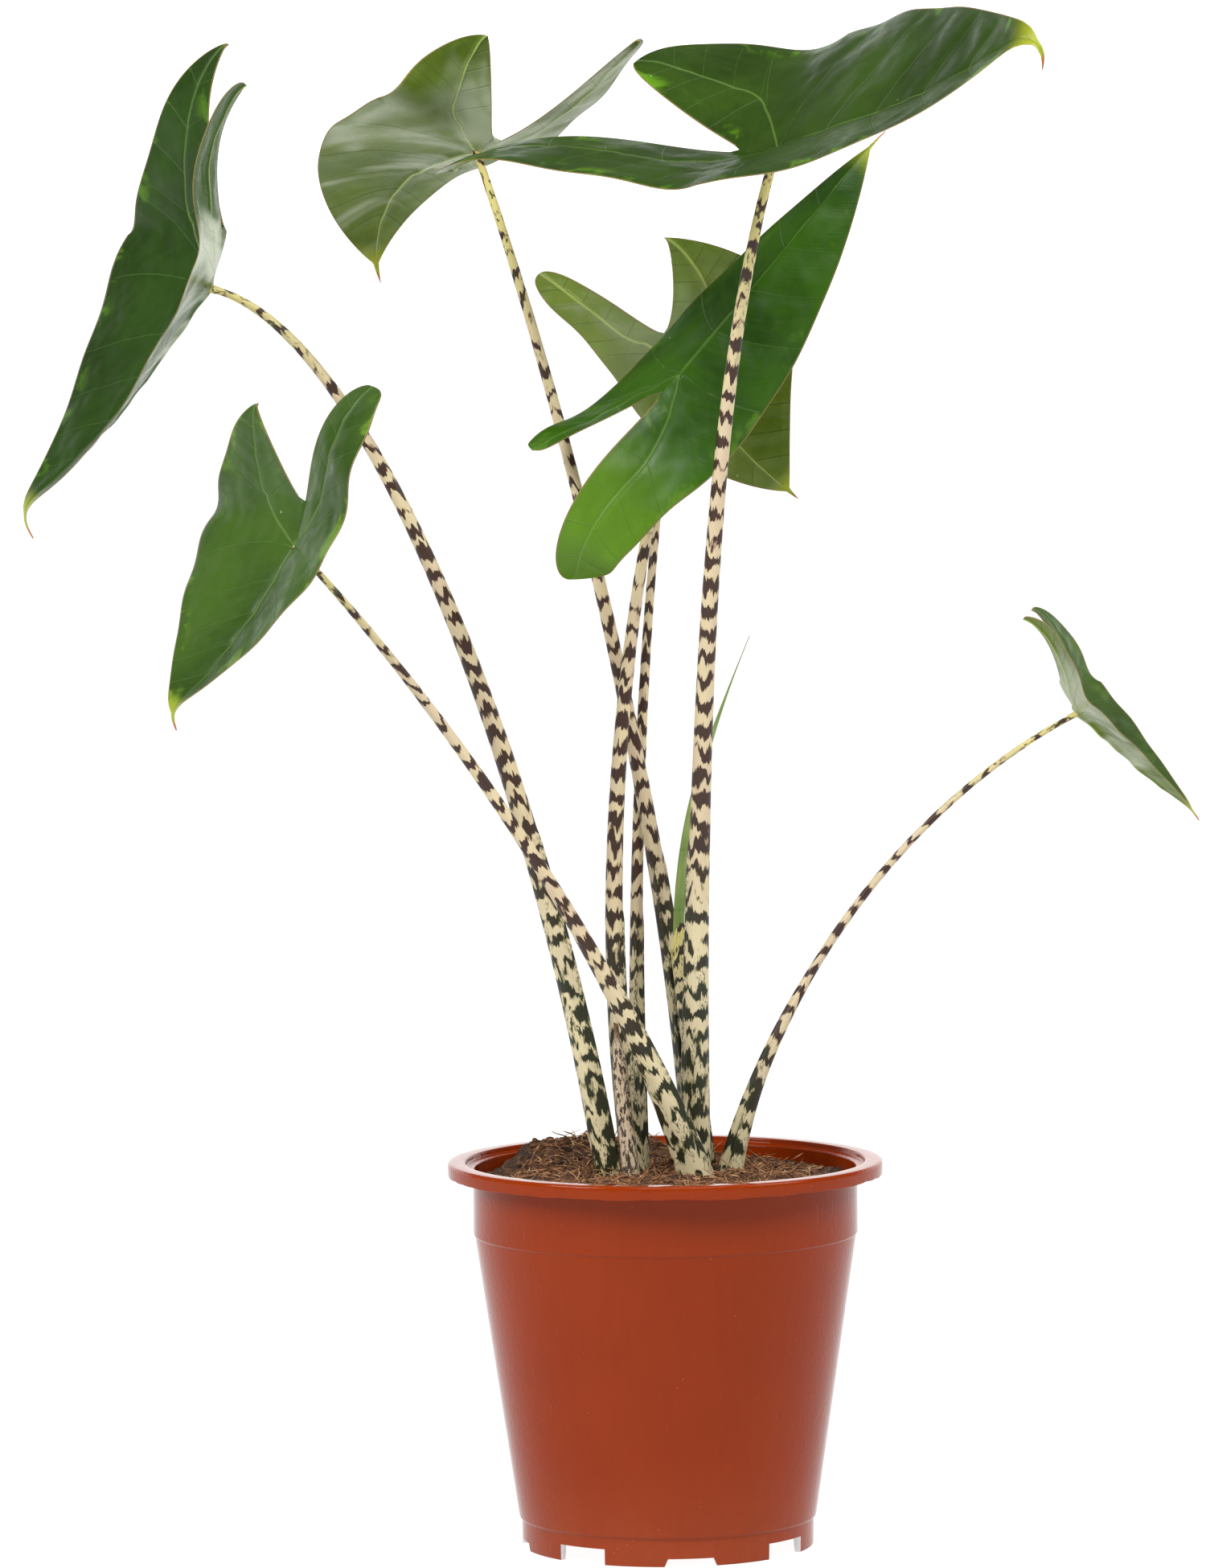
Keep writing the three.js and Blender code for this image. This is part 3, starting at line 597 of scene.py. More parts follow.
def upper_face(f, name, at, fleck):
    """Green with bright patches at the margin and fine light veins."""
    dark, light, bright, patches = LEAF_TONES[name]
    blotch = f.span(f.noise(f.place, 60, 3, 0.6, 0.4), 0.52, 0.66, 0, patches)
    colour = f.layers(
        dark,
        (at["cloud"], light),
        (f.span(at["fine"], 0.35, 0.7, 0, 0.25), light),
        (f.span(fleck, 0.4, 0.8, 0, 0.16), light),
        (f.times(f.span(at["edge"], 12, 1), blotch), bright),
    )
    # On the middle leaf the right lobe is painted brighter: a painted highlight in place of the broad gloss
    # on that lobe.
    if name == "middle":
        painted_light_lobe = f.times(f.span(at["along"], -20, -70), f.span(at["across"], 0, -8, 0, 0.6))
        colour = f.mix(painted_light_lobe, colour, bright)
    return f.layers(
        colour,
        (f.times(at["lateral"], 0.18), "upper_vein"),
        (f.times(at["rib"], 0.32), "upper_rib"),
    )


def lower_face(f, name, at, plan):
    """Olive, with pale ribs and a painted sheen: whitish streaks laid into the colour in place of glossy
    highlights.
    """
    dark, light, sheen_share = LEAF_BACKS.get(name, PALE_BACK)
    along = at["along"]
    # Painted sheen: whitish streaks, strongest near the junction, mixed into the colour in place of glossy
    # highlights.
    painted_sheen = f.drawn(plan, (0.05, 0.018, 0.018), 2, 0.5, 0.5)
    junction = f.span(f.calc("ABSOLUTE", along), 50, 5, 0, 0.2)
    # On upper_left the back of the right lobe gets the painted sheen too.
    if name == "upper_left":
        painted_light_lobe = f.times(f.span(along, 0, -15), f.span(at["across"], 2, -4, 0, 0.2))
        junction = f.larger(junction, painted_light_lobe)
    painted_sheen = f.span(f.plus(painted_sheen, junction), 0.58, 0.78, 0, sheen_share)
    if name == "far_left":
        painted_sheen = f.times(painted_sheen, f.span(along, -50, -25))
    return f.layers(
        dark,
        (at["cloud"], light),
        (f.span(at["fine"], 0.35, 0.7, 0, 0.3), dark),
        (f.times(at["lateral"], 0.4), "lower_vein"),
        (f.times(at["rib"], 0.75), "lower_rib"),
        (painted_sheen, "painted_sheen"),
    )


def blade_finish(name):
    """A waxy leaf: green above, olive and paler below, with a yellow and brown tip."""
    f = Finish("leaf_" + name)
    plan = f.attribute("plan", "Vector")
    _, across, along = f.parts(plan)
    off_lobe_rib, under, edge = f.parts(f.attribute("place", "Vector"))
    reach = f.attribute("reach")
    at = dict(across=across, along=along, off_lobe_rib=off_lobe_rib, edge=edge, reach=reach)
    at["cloud"] = f.span(f.noise(f.place, 24, 3, 0.6), 0.3, 0.7)
    at["fine"] = f.drawn(plan, (0.5, 0.035, 0.035))
    at["lateral"], at["rib"] = blade_veins(f, at)
    fleck = f.noise(f.place, 190, 3, 0.6)

    cells = f.node("ShaderNodeTexVoronoi", {"Vector": f.place, "Scale": 75})["Distance"]
    rare = f.span(f.noise(f.place, 40, 1), 0.5, 0.56, 0, 0.55)
    colour = f.layers(
        f.mix(under, upper_face(f, name, at, fleck), lower_face(f, name, at, plan)),
        (f.times(f.span(cells, 0.045, 0.025), rare), "pale_dot"),
        (f.span(edge, 0.8, 0.3, 0, 0.75), "dry_margin"),
        (f.span(reach, 0.82, 0.94, 0, 0.85), "yellow_tip"),
        (f.span(reach, 0.945, 0.98), "brown_tip"),
    )

    roughness = f.plus(f.span(fleck, 0.3, 0.7, 0.3, 0.42), f.times(under, -0.06))
    grain = f.bump(f.noise(f.place, 1500, 2), 0.00003)
    ripples = f.bump(f.drawn(plan, (1.1, 0.05, 0.05), 3, 0.6), 0.00008, grain)
    sunk = f.times(f.larger(at["lateral"], at["rib"]), -1.0)
    return f.done(colour, roughness, f.bump(sunk, 0.00025, ripples), IOR=1.45, Specular_IOR_Level=0.34)


def stalk_bands(f, wrap, height):
    """How far the stalk's band pattern stands above its threshold: ragged rings below, broken up above."""
    x, y, along = f.parts(wrap)
    sway = f.minus(f.drawn(wrap, (0.3, 0.3, 0.05), 1), 0.5)
    fray = f.minus(f.drawn(wrap, (1.5, 1.5, 0.12), 2, 0.6), 0.5)
    shifted = f.plus(along, f.plus(f.times(sway, 15.0), f.times(fray, 5.5)))
    rings = f.calc("SINE", f.times(shifted, math.tau / BAND_PERIOD))
    patch = f.noise(f.joined(f.times(x, 0.19), f.times(y, 0.19), f.times(shifted, 0.14)), 1, 1.5, 0.5)
    small = f.drawn(wrap, (0.55, 0.55, 0.28), 2, 0.6)
    level = f.span(height, 0.5, 1.0, 0.512, 0.67)
    level = f.plus(level, f.times(f.minus(small, 0.5), 0.2))
    return f.minus(f.plus(f.times(rings, f.span(height, 0.2, 0.5, 0.09, 0.2)), patch), level)


def stalk_specks(f, wrap, height, sheath):
    """Fine marks: in patches over the sheath, on its raised edges and close under the blade."""
    speckle = f.drawn(wrap, (1.6, 1.6, 0.55), 2, 0.6)
    spot = f.drawn(wrap, (0.5, 0.5, 0.22), 2, 0.6)
    mottled = f.times(sheath, f.span(f.drawn(wrap, (0.12, 0.12, 0.04), 1), 0.5, 0.62))
    on_sheath = f.times(f.span(speckle, 0.55, 0.6), mottled)
    on_wing = f.times(f.span(speckle, 0.48, 0.53), f.attribute("wing"))
    near_blade = f.times(f.span(spot, 0.57, 0.62), f.span(height, 0.7, 0.9))
    return f.larger(f.larger(on_sheath, on_wing), near_blade)


def stalk_finish():
    """Cream stalks with ragged dark bands, greener and finer mottled over the sheath."""
    f = Finish("banded_stalk")
    wrap = f.attribute("wrap", "Vector")
    height = f.attribute("height")
    sheath = f.attribute("sheath")
    streak = f.drawn(wrap, (1.9, 1.9, 0.05))
    mark = stalk_bands(f, wrap, height)
    dark = f.span(mark, 0.004, 0.02)
    cream = f.layers(
        "cream",
        (f.span(f.drawn(wrap, (0.06, 0.06, 0.02)), 0.35, 0.65), "dull_cream"),
        (f.times(sheath, 0.5), "sheath_cream"),
        (f.span(height, 0.7, 1.0, 0, 0.8), "green_cream"),
        (f.span(streak, 0.5, 0.8, 0, 0.35), "cream_streak"),
    )
    colour = f.layers(
        cream,
        (f.times(f.span(mark, -0.055, 0.008), 0.75), f.mix(sheath, "band_fringe", "sheath_fringe")),
        (dark, f.mix(sheath, "band", "sheath_band")),
        (f.times(stalk_specks(f, wrap, height, sheath), 0.9), "fine_speck"),
    )
    normal = f.bump(f.minus(0.0, dark), 0.00006, f.bump(streak, 0.00015))
    return f.done(colour, f.span(streak, 0.3, 0.7, 0.34, 0.46), normal, IOR=1.42)


def young_leaf_finish():
    """The rolled leaf: light green, with fine lines along it and a few cross veins."""
    f = Finish("young_leaf")
    wrap = f.attribute("wrap", "Vector")
    line = f.drawn(wrap, (1.6, 1.6, 0.03))
    colour = f.layers(
        "young_green",
        (f.span(f.drawn(wrap, (0.2, 0.2, 0.06)), 0.35, 0.65), "pale_young_green"),
        (f.span(line, 0.55, 0.75, 0, 0.5), "young_line"),
        (f.span(f.attribute("height"), 0.8, 1.0, 0, 0.6), "young_tip"),
        (f.times(f.attribute("ring"), 0.6), "young_ring"),
    )
    return f.done(colour, f.span(line, 0.3, 0.7, 0.36, 0.48), f.bump(line, 0.00015), IOR=1.45)


def withered_finish():
    """The old stalk's stump: mottled below, dry and brown at its torn top."""
    f = Finish("withered_stump")
    wrap = f.attribute("wrap", "Vector")
    speckle = f.drawn(wrap, (0.9, 0.9, 0.3), 3, 0.6)
    streak = f.drawn(wrap, (1.8, 1.8, 0.08), 3, 0.6)
    colour = f.layers(
        "dull_cream",
        (f.span(speckle, 0.48, 0.55), "stump_speck"),
        (f.span(streak, 0.5, 0.7, 0, 0.5), "stump_streak"),
        (f.span(f.attribute("height"), 0.9, 0.99),
         f.mix(f.span(streak, 0.35, 0.7), "withered", "light_withered")),
    )
    return f.done(colour, f.span(streak, 0.3, 0.7, 0.5, 0.8), f.bump(streak, 0.0005))


def corm_finish():
    """The rootstocks in the soil."""
    f = Finish("rootstock")
    rings = f.drawn(f.place, (60, 60, 420), 3, 0.6)
    colour = f.mix(f.span(rings, 0.35, 0.65), "rootstock", "light_rootstock")
    return f.done(colour, f.span(rings, 0.3, 0.7, 0.7, 0.9), f.bump(rings, 0.001))


# Meshes


def plain_mesh(name, points, faces=()):
    mesh = bpy.data.meshes.new(name)
    mesh.from_pydata(points, [], faces)
    return mesh


def linked(name, data):
    """A new object in the scene."""
    made = bpy.data.objects.new(name, data)
    bpy.context.scene.collection.objects.link(made)
    return made


def new_piece(name, points, faces, material, **attributes):
    """A mesh object at the origin from points in millimetres, with one attribute value for each point."""
    mesh = plain_mesh(name, to_metres(points).tolist(), [tuple(int(i) for i in face) for face in faces])
    for key, values in attributes.items():
        values = np.asarray(values, np.float32)
        kind, field = ("FLOAT", "value") if values.ndim == 1 else ("FLOAT_VECTOR", "vector")
        mesh.attributes.new(key, kind, "POINT").data.foreach_set(field, values.ravel())
    mesh.materials.append(material)
    tidy_mesh(mesh)
    return linked(name, mesh)


def tidy_mesh(mesh):
    """Merges doubled points, turns every face outwards and shades it smooth."""
    shell = bmesh.new()
    shell.from_mesh(mesh)
    bmesh.ops.remove_doubles(shell, verts=shell.verts, dist=MERGE_DISTANCE)
    bmesh.ops.recalc_face_normals(shell, faces=shell.faces)
    shell.to_mesh(mesh)
    shell.free()
    mesh.polygons.foreach_set("use_smooth", [True] * len(mesh.polygons))
    mesh.update()


def applied(piece):
    """Turns a piece's modifiers into plain mesh."""
    evaluated = piece.evaluated_get(bpy.context.evaluated_depsgraph_get())
    mesh = bpy.data.meshes.new_from_object(evaluated)
    piece.modifiers.clear()
    piece.data = mesh
    return piece


def take_place(piece, slot, *nodes):
    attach(piece, "root")
    if nodes:
        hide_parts(*nodes)


def grid_faces(rows, columns, closed=False, start=0):
    """Quads of a grid of points, row by row. A closed grid joins its last column to its first."""
    faces = []
    last = columns if closed else columns - 1
    for i in range(rows - 1):
        for j in range(last):
            a = start + i * columns + j
            b = start + i * columns + (j + 1) % columns
            faces.append((a, b, b + columns, a + columns))
    return faces


def tube_faces(rows, sides):
    """Faces of a tube from its rings of points, with both ends closed."""
    last = (rows - 1) * sides
    return [*grid_faces(rows, sides, True), tuple(range(sides)), tuple(last + i for i in range(sides))]


# Geometry node trees


class Tree(Nodes):
    """A geometry node tree with named inputs, and its use on an object."""

    def __init__(self, name, **inputs):
        super().__init__(bpy.data.node_groups.new(name, "GeometryNodeTree"))
        self.tree.is_modifier = True
        face = self.tree.interface
        face.new_socket("Geometry", in_out="OUTPUT", socket_type="NodeSocketGeometry")
        self.ids = {
            key: face.new_socket(key, in_out="INPUT", socket_type="NodeSocket" + kind).identifier
            for key, kind in {"Geometry": "Geometry", **inputs, "Finish": "Material"}.items()
        }
        self.given = self.node("NodeGroupInput")

    def finish(self, geometry):
        real = self.node("GeometryNodeRealizeInstances", {"Geometry": geometry})[0]
        dressed = self.node("GeometryNodeSetMaterial", {"Geometry": real, "Material": self.given["Finish"]})
        self.node("NodeGroupOutput", {0: dressed[0]})
        return self

    def grow(self, name, base, **values):
        """Runs the tree on a copy of base with these inputs, and gives the result as a plain mesh."""
        piece = linked(name, base.data.copy())
        modifier = piece.modifiers.new(name, "NODES")
        modifier.node_group = self.tree
        for key, value in values.items():
            modifier[self.ids[key]] = value
        return applied(piece)


def turning_tree():
    """Turns an outline, given as points in the XZ plane, once round the Z axis."""
    t = Tree("turned_shell", Steps="Int")
    outline = t.given["Geometry"]
    count = t.node("GeometryNodeAttributeDomainSize", {"Geometry": outline})["Point Count"]
    row = t.plus(t.given["Steps"], 1)
    grid = t.node("GeometryNodeMeshGrid", {"Vertices X": count, "Vertices Y": row})[0]
    index = t.node("GeometryNodeInputIndex")[0]
    ring = t.calc("FLOOR", t.calc("DIVIDE", index, row))
    turn = t.calc("DIVIDE", t.times(t.calc("MODULO", index, row), math.tau), t.given["Steps"])
    sample = t.node(
        "GeometryNodeSampleIndex",
        {"Geometry": outline, "Value": t.node("GeometryNodeInputPosition")[0], "Index": ring},
        data_type="FLOAT_VECTOR",
    )
    radius, _, height = t.parts(sample[0])
    place = t.joined(t.times(radius, t.calc("COSINE", turn)), t.times(radius, t.calc("SINE", turn)), height)
    shell = t.node("GeometryNodeSetPosition", {"Geometry": grid, "Position": place})[0]
    closed = t.node("GeometryNodeMergeByDistance", {"Geometry": shell, "Distance": MERGE_DISTANCE})[0]
    return t.finish(closed)


def scatter_tree():
    """Strews the objects of a collection over a surface, turned and sized at random."""
    t = Tree("strewn", Variants="Collection", Density="Float", Seed="Int", Smallest="Float",
             Largest="Float", Tilt="Float")
    seed = t.given["Seed"]
    tilt = t.given["Tilt"]
    points = t.node(
        "GeometryNodeDistributePointsOnFaces",
        {"Mesh": t.given["Geometry"], "Density": t.given["Density"], "Seed": seed},
    )
    variants = t.node(
        "GeometryNodeCollectionInfo",
        {"Collection": t.given["Variants"], "Separate Children": True, "Reset Children": True},
    )
    most = t.joined(tilt, tilt, math.pi)
    least = t.stretched(most, (-1, -1, -1))
    turn = t.node("FunctionNodeRandomValue", {0: least, 1: most, "Seed": seed}, data_type="FLOAT_VECTOR")
    rotation = t.node(
        "FunctionNodeRotateRotation",
        {"Rotation": points["Rotation"], "Rotate By": turn[0]},
        rotation_space="LOCAL",
    )
    size = t.node(
        "FunctionNodeRandomValue",
        {2: t.given["Smallest"], 3: t.given["Largest"], "Seed": t.plus(seed, 7)},
        data_type="FLOAT",
    )
    placed = t.node(
        "GeometryNodeInstanceOnPoints",
        {
            "Points": points["Points"],
            "Instance": variants[0],
            "Pick Instance": True,
            "Rotation": rotation[0],
            "Scale": size[1],
        },
    )
    return t.finish(placed[0])


# Pot


def rounded_outline(corners):
    """Points of an outline from corners (radius, height, fillet), each fillet as a short arc."""
    arc_steps = 4
    outline = []
    for k, (r, z, fillet) in enumerate(corners):
        corner = Vector((r, z))
        if fillet == 0 or k in (0, len(corners) - 1):
            outline.append(corner)
            continue
        before = (Vector(corners[k - 1][:2]) - corner).normalized()
        after = (Vector(corners[k + 1][:2]) - corner).normalized()
        for i in range(arc_steps + 1):
            share = i / arc_steps
            start = corner + before * fillet * (1 - share)
            end = corner + after * fillet * share
            outline.append(start.lerp(end, share))
    return outline


def pot_outline():
    """Half of the pot's section: the floor's underside, the foot, the outside, the collar and the inside."""
    ledge = 1.3
    foot_inside = BOTTOM_RADIUS - FOOT_WIDTH
    inside_top = FLOOR_HEIGHT + FLOOR_THICKNESS
    return rounded_outline([
        (0, FLOOR_HEIGHT, 0),
        (foot_inside - 1, FLOOR_HEIGHT, 0.5),
        (foot_inside, 0, 0.4),
        (BOTTOM_RADIUS - 1, 0, 0.5),
        (BOTTOM_RADIUS - 0.8, SKIRT_HEIGHT - 0.5, 0.3),
        (BOTTOM_RADIUS + ledge * 0.2, SKIRT_HEIGHT + ledge * 0.3, 0.5),
        (TOP_RADIUS - STEP_DEPTH, STEP_HEIGHT - 0.2, 0.2),
        (TOP_RADIUS, STEP_HEIGHT + 0.5, 0.3),
        (TOP_RADIUS, COLLAR_FOOT, 0),
        (TOP_RADIUS + 0.4, COLLAR_FOOT + 2.4, 0.8),
        (TOP_RADIUS + 5, COLLAR_FOOT + 3.2, 0.5),
        (RIM_RADIUS - WALL, COLLAR_FOOT + 4.3, 0.6),
        (RIM_RADIUS - WALL, COLLAR_FOOT, 0.2),
        (RIM_RADIUS, COLLAR_FOOT, 0.3),
        (RIM_RADIUS, POT_HEIGHT, 1.5),
        (RIM_RADIUS - 7.6, POT_HEIGHT, 0.7),
        (RIM_RADIUS - 8, POT_HEIGHT - 2.2, 0.6),
        (TOP_RADIUS - 0.8, POT_HEIGHT - 2.6, 0.7),
        (TOP_RADIUS - WALL, STEP_HEIGHT, 0.3),
        (BOTTOM_RADIUS - WALL, SKIRT_HEIGHT + ledge, 0),
        (BOTTOM_RADIUS - WALL - 0.6, inside_top, 0.3),
        (0, inside_top, 0),
    ])


def add_wedge(shell, middle, width, top_width, top):
    """A wedge through the foot skirt, added to the cutting shell."""
    inside = BOTTOM_RADIUS - FOOT_WIDTH - 3
    outside = BOTTOM_RADIUS + 2
    below = -2
    turn = Matrix.Rotation(math.radians(middle - 90), 3, "Z")
    corners = []
    for reach in (inside, outside):
        for angle, z in ((width, below), (top_width, top)):
            half = outside * math.tan(math.radians(angle / 2))
            corners += [turn @ Vector((-half, reach, z)), turn @ Vector((half, reach, z))]
    made = [shell.verts.new(to_metres(c)) for c in corners]
    for quad in ((0, 1, 3, 2), (4, 6, 7, 5), (0, 2, 6, 4), (1, 5, 7, 3), (2, 3, 7, 6), (0, 4, 5, 1)):
        shell.faces.new([made[i] for i in quad])


def add_drain(shell, angle):
    reach = BOTTOM_RADIUS - FOOT_WIDTH - 2 - 1.6 * DRAIN_RADIUS
    x = reach * math.cos(math.radians(angle))
    y = reach * math.sin(math.radians(angle))
    place = Matrix.Translation(to_metres((x, y, FLOOR_HEIGHT + 1)))
    radius = DRAIN_RADIUS / 1000
    bmesh.ops.create_cone(shell, cap_ends=True, segments=DRAIN_SIDES, radius1=radius, radius2=radius,
                          depth=FLOOR_HEIGHT / 1000, matrix=place)


def foot_cutter():
    """The notches in the feet, the gaps between them and the drain holes, as one cutting mesh."""
    shell = bmesh.new()
    foot_turn = 360 / FOOT_COUNT
    for k in range(FOOT_COUNT):
        foot = FIRST_FOOT_ANGLE + foot_turn * k
        gap = foot + foot_turn / 2
        add_wedge(shell, foot, FOOT_NOTCH_ANGLE, FOOT_NOTCH_ANGLE - 4, FOOT_NOTCH_HEIGHT)
        add_wedge(shell, gap, FOOT_GAP_ANGLE, FOOT_GAP_ANGLE, FLOOR_HEIGHT - 1)
        add_drain(shell, gap)
    bmesh.ops.recalc_face_normals(shell, faces=shell.faces)
    mesh = bpy.data.meshes.new("foot_cutter")
    shell.to_mesh(mesh)
    shell.free()
    return linked("foot_cutter", mesh)


def roughen_collar(mesh):
    """The moulding flash along the collar's lower edge."""
    flash = 0.0005
    low = (COLLAR_FOOT + 0.4) / 1000
    inside = (RIM_RADIUS - WALL - 0.2) / 1000
    for vertex in mesh.vertices:
        flat = vertex.co - Vector(POT_AXIS)
        if vertex.co.z < low and math.hypot(flat.x, flat.y) > inside:
            vertex.co.z += flash * noise.fractal(vertex.co * 90, 1, 2, 4)


def add_pot():
    outline = plain_mesh("pot_outline", [(p.x / 1000, 0, p.y / 1000) for p in pot_outline()])
    base = bpy.data.objects.new("pot_outline", outline)
    pot = turning_tree().grow("moulded_pot", base, Steps=POT_TURN_STEPS, Finish=pot_finish())
    pot.data.transform(Matrix.Translation(POT_AXIS))
    tidy_mesh(pot.data)
    roughen_collar(pot.data)
    cutter = foot_cutter()
    cut = pot.modifiers.new("feet", "BOOLEAN")
    cut.object = cutter
    cut.operation = "DIFFERENCE"
    cut.solver = "EXACT"
    applied(pot)
    bpy.data.objects.remove(cutter)
    bpy.data.objects.remove(base)
    pot.data.polygons.foreach_set("use_smooth", [True] * len(pot.data.polygons))
    pot.data.set_sharp_from_angle(angle=math.radians(SHARP_EDGE_ANGLE))
    take_place(pot, "pot", "pot")


# Soil


def soil_height(x, y):
    """A slightly crowned, lumpy top with a heap at the back left."""
    reach = np.hypot(x, y) / TOP_RADIUS
    heap = bell(np.hypot((x + 46) / 26, (y - 54) / 22)) + 0.7 * bell(np.hypot(x + 8, y - 60) / 14)
    crown = SOIL_CROWN * (1 - reach * reach)
    lumps = np.sin(x * 0.19 + 1) * np.cos(y * 0.23) + 0.6 * np.sin(x * 0.41 + y * 0.37 + 2)
    return SOIL_HEIGHT + SOIL_MOUND * heap + crown + lumps


def clod_relief(x, y):
    """The soil's lumps, from hazelnut size down to crumbs."""
    coarse = noise.fractal(Vector((x * 0.07, y * 0.07, 3)), 0.9, 2.1, 4)
    fine = noise.fractal(Vector((x * 0.33, y * 0.33, 9)), 0.7, 2.2, 4)
    return 2.0 * coarse + 1.1 * fine


def wall_radius(z):
    """The radius of the soil's side, just inside the pot's wall."""
    share = (z - SKIRT_HEIGHT) / (STEP_HEIGHT - SKIRT_HEIGHT)
    return between((BOTTOM_RADIUS, TOP_RADIUS - STEP_DEPTH), min(1, share)) - WALL - 0.6


def soil_points():
    """Rings of the soil's surface: its top from the middle outwards, then its side and underside."""
    top_radius = TOP_RADIUS - WALL - 0.9
    low = FLOOR_HEIGHT + 2.3
    turns = np.arange(SOIL_TURN_STEPS) * math.tau / SOIL_TURN_STEPS
    rings = []
    for k in range(SOIL_RINGS + 1):
        radius = top_radius * k / SOIL_RINGS
        x = radius * np.cos(turns)
        y = radius * np.sin(turns)
        relief = np.array([clod_relief(*p) for p in zip(x, y)])
        rings.append(np.stack([x, y, soil_height(x, y) + relief * min(1, (SOIL_RINGS - k) / CALM_RINGS)], 1))
    for radius, z in (
        (wall_radius(STEP_HEIGHT), STEP_HEIGHT),
        (wall_radius(SKIRT_HEIGHT), SKIRT_HEIGHT + 4),
        (wall_radius(SKIRT_HEIGHT) - 1, low),
        (0, low),
    ):
        rings.append(np.stack([radius * np.cos(turns), radius * np.sin(turns), np.full(len(turns), z)], 1))
    return np.concatenate(rings), len(rings)


def fibre(seed):
    """One bent strand, lying near the XY plane, in millimetres."""
    steps = 9
    sides = 4
    draw = np.random.default_rng(seed)
    length = draw.uniform(5, 17)
    share = np.linspace(-0.5, 0.5, steps)
    bend = draw.uniform(-0.9, 0.9)
    wave = draw.uniform(-0.6, 0.6)
    x = share * length
    y = length * (bend * (share ** 2 - 0.08) + 0.12 * wave * np.sin(share * 9))
    z = length * (0.1 * draw.uniform(0.2, 1) * np.cos(share * 5)) + 0.2
    radius = draw.uniform(0.1, 0.24) * (1 - 0.5 * np.abs(share * 2) ** 3)
    turn = np.arange(sides) * math.tau / sides
    ring_x = np.repeat(x[:, None], sides, 1)
    ring_y = y[:, None] + radius[:, None] * np.cos(turn)
    ring_z = z[:, None] + radius[:, None] * np.sin(turn)
    return np.stack([ring_x, ring_y, ring_z], 2).reshape(-1, 3), tube_faces(steps, sides)


def crumb(seed):
    """One lumpy clod, about 2 mm across, in millimetres."""
    shell = bmesh.new()
    bmesh.ops.create_icosphere(shell, subdivisions=2, radius=1)
    draw = np.random.default_rng(seed)
    shift = Vector(draw.uniform(-50, 50, 3))
    squeeze = Vector(draw.uniform(0.6, 1.2, 3))
    for vertex in shell.verts:
        lump = 1 + 0.45 * noise.fractal(vertex.co * 1.6 + shift, 0.8, 2, 3)
        vertex.co = vertex.co * lump * squeeze
    points = np.array([v.co[:] for v in shell.verts])
    faces = [tuple(v.index for v in face.verts) for face in shell.faces]
    shell.free()
    return points, faces


def variants(name, make, count):
    """A collection of differently drawn small shapes, each at the origin."""
    group = bpy.data.collections.new(name)
    for seed in range(count):
        points, faces = make(seed)
        mesh = plain_mesh(f"{name}_{seed}", (points / 1000).tolist(), faces)
        group.objects.link(bpy.data.objects.new(mesh.name, mesh))
    return group


def discard(group):
    for piece in list(group.objects):
        bpy.data.objects.remove(piece)
    bpy.data.collections.remove(group)


def soil_base(points, rings):
    """The soil's top out to one of its rings, for strewing, and its area."""
    inner = to_metres(points[: rings * SOIL_TURN_STEPS]).tolist()
    top = plain_mesh("soil_top", inner, grid_faces(rings, SOIL_TURN_STEPS, True))
    tidy_mesh(top)
    if top.polygons[0].normal.z < 0:
        top.flip_normals()
    return bpy.data.objects.new("soil_top", top), sum(face.area for face in top.polygons)


def add_soil():
    """The mix, and what lies on it: kinds, count, seed, sizes, tilt and the rings kept clear at the rim."""
    points, rings = soil_points()
    soil = new_piece("potting_mix", points, grid_faces(rings, SOIL_TURN_STEPS, True), soil_finish())

    strew = scatter_tree()
    for name, make, kinds, count, seed, sizes, tilt, clear_rings, finish in (
        ("coir_fibres", fibre, 14, FIBRE_COUNT, 4, (0.5, 1.9), 0.45, 18, fibre_finish()),
        ("short_strands", fibre, 10, STRAND_COUNT, 31, (0.25, 0.9), 0.5, 7, fibre_finish()),
        ("peat_crumbs", crumb, 9, CRUMB_COUNT, 11, (0.5, 1.9), 3, 5, crumb_finish()),
        ("perlite_grains", crumb, 5, GRIT_COUNT, 23, (0.25, 0.6), 3, 12, grit_finish()),
    ):
        group = variants(name, make, kinds)
        base, area = soil_base(points, SOIL_RINGS - clear_rings)
        piece = strew.grow(name, base, Variants=group, Density=count / area, Seed=seed,
                           Smallest=sizes[0], Largest=sizes[1], Tilt=tilt, Finish=finish)
        discard(group)
        bpy.data.objects.remove(base)
        tidy_mesh(piece.data)
        take_place(piece, "soil")
    take_place(soil, "soil", "soil")


# Leaf blades


def front_width(x):
    """The share of the full width at a share of the front's length: a rounded body and a thin tail."""
    x_body = np.minimum(x, BODY_END) / BODY_END
    body = np.where(x < BODY_END, np.clip(1 - x_body ** BODY_TAPER, 0, 1) ** BODY_ROUNDING, 0)
    tail = np.minimum(TAIL_WIDTH, TAIL_WIDTH * (1 - x) / TAIL_SHARE)
    return np.maximum(body, tail)


def lobe_outer(y, spread, blunt):
    return np.maximum(0, 1 - y * y) ** between(LOBE_ROUNDING, blunt) + spread * y * y


def lobe_inner(q, spread, blunt):
    straight = between(SINUS_STRAIGHT, blunt) * q ** SINUS_POWER
    rounded = between(SINUS_ROUND, blunt) * (1 - np.sqrt(np.maximum(0, 1 - q * q)))
    return spread * (straight + rounded)


def turned(vector, axis, angle):
    return Matrix.Rotation(angle, 3, axis) @ vector


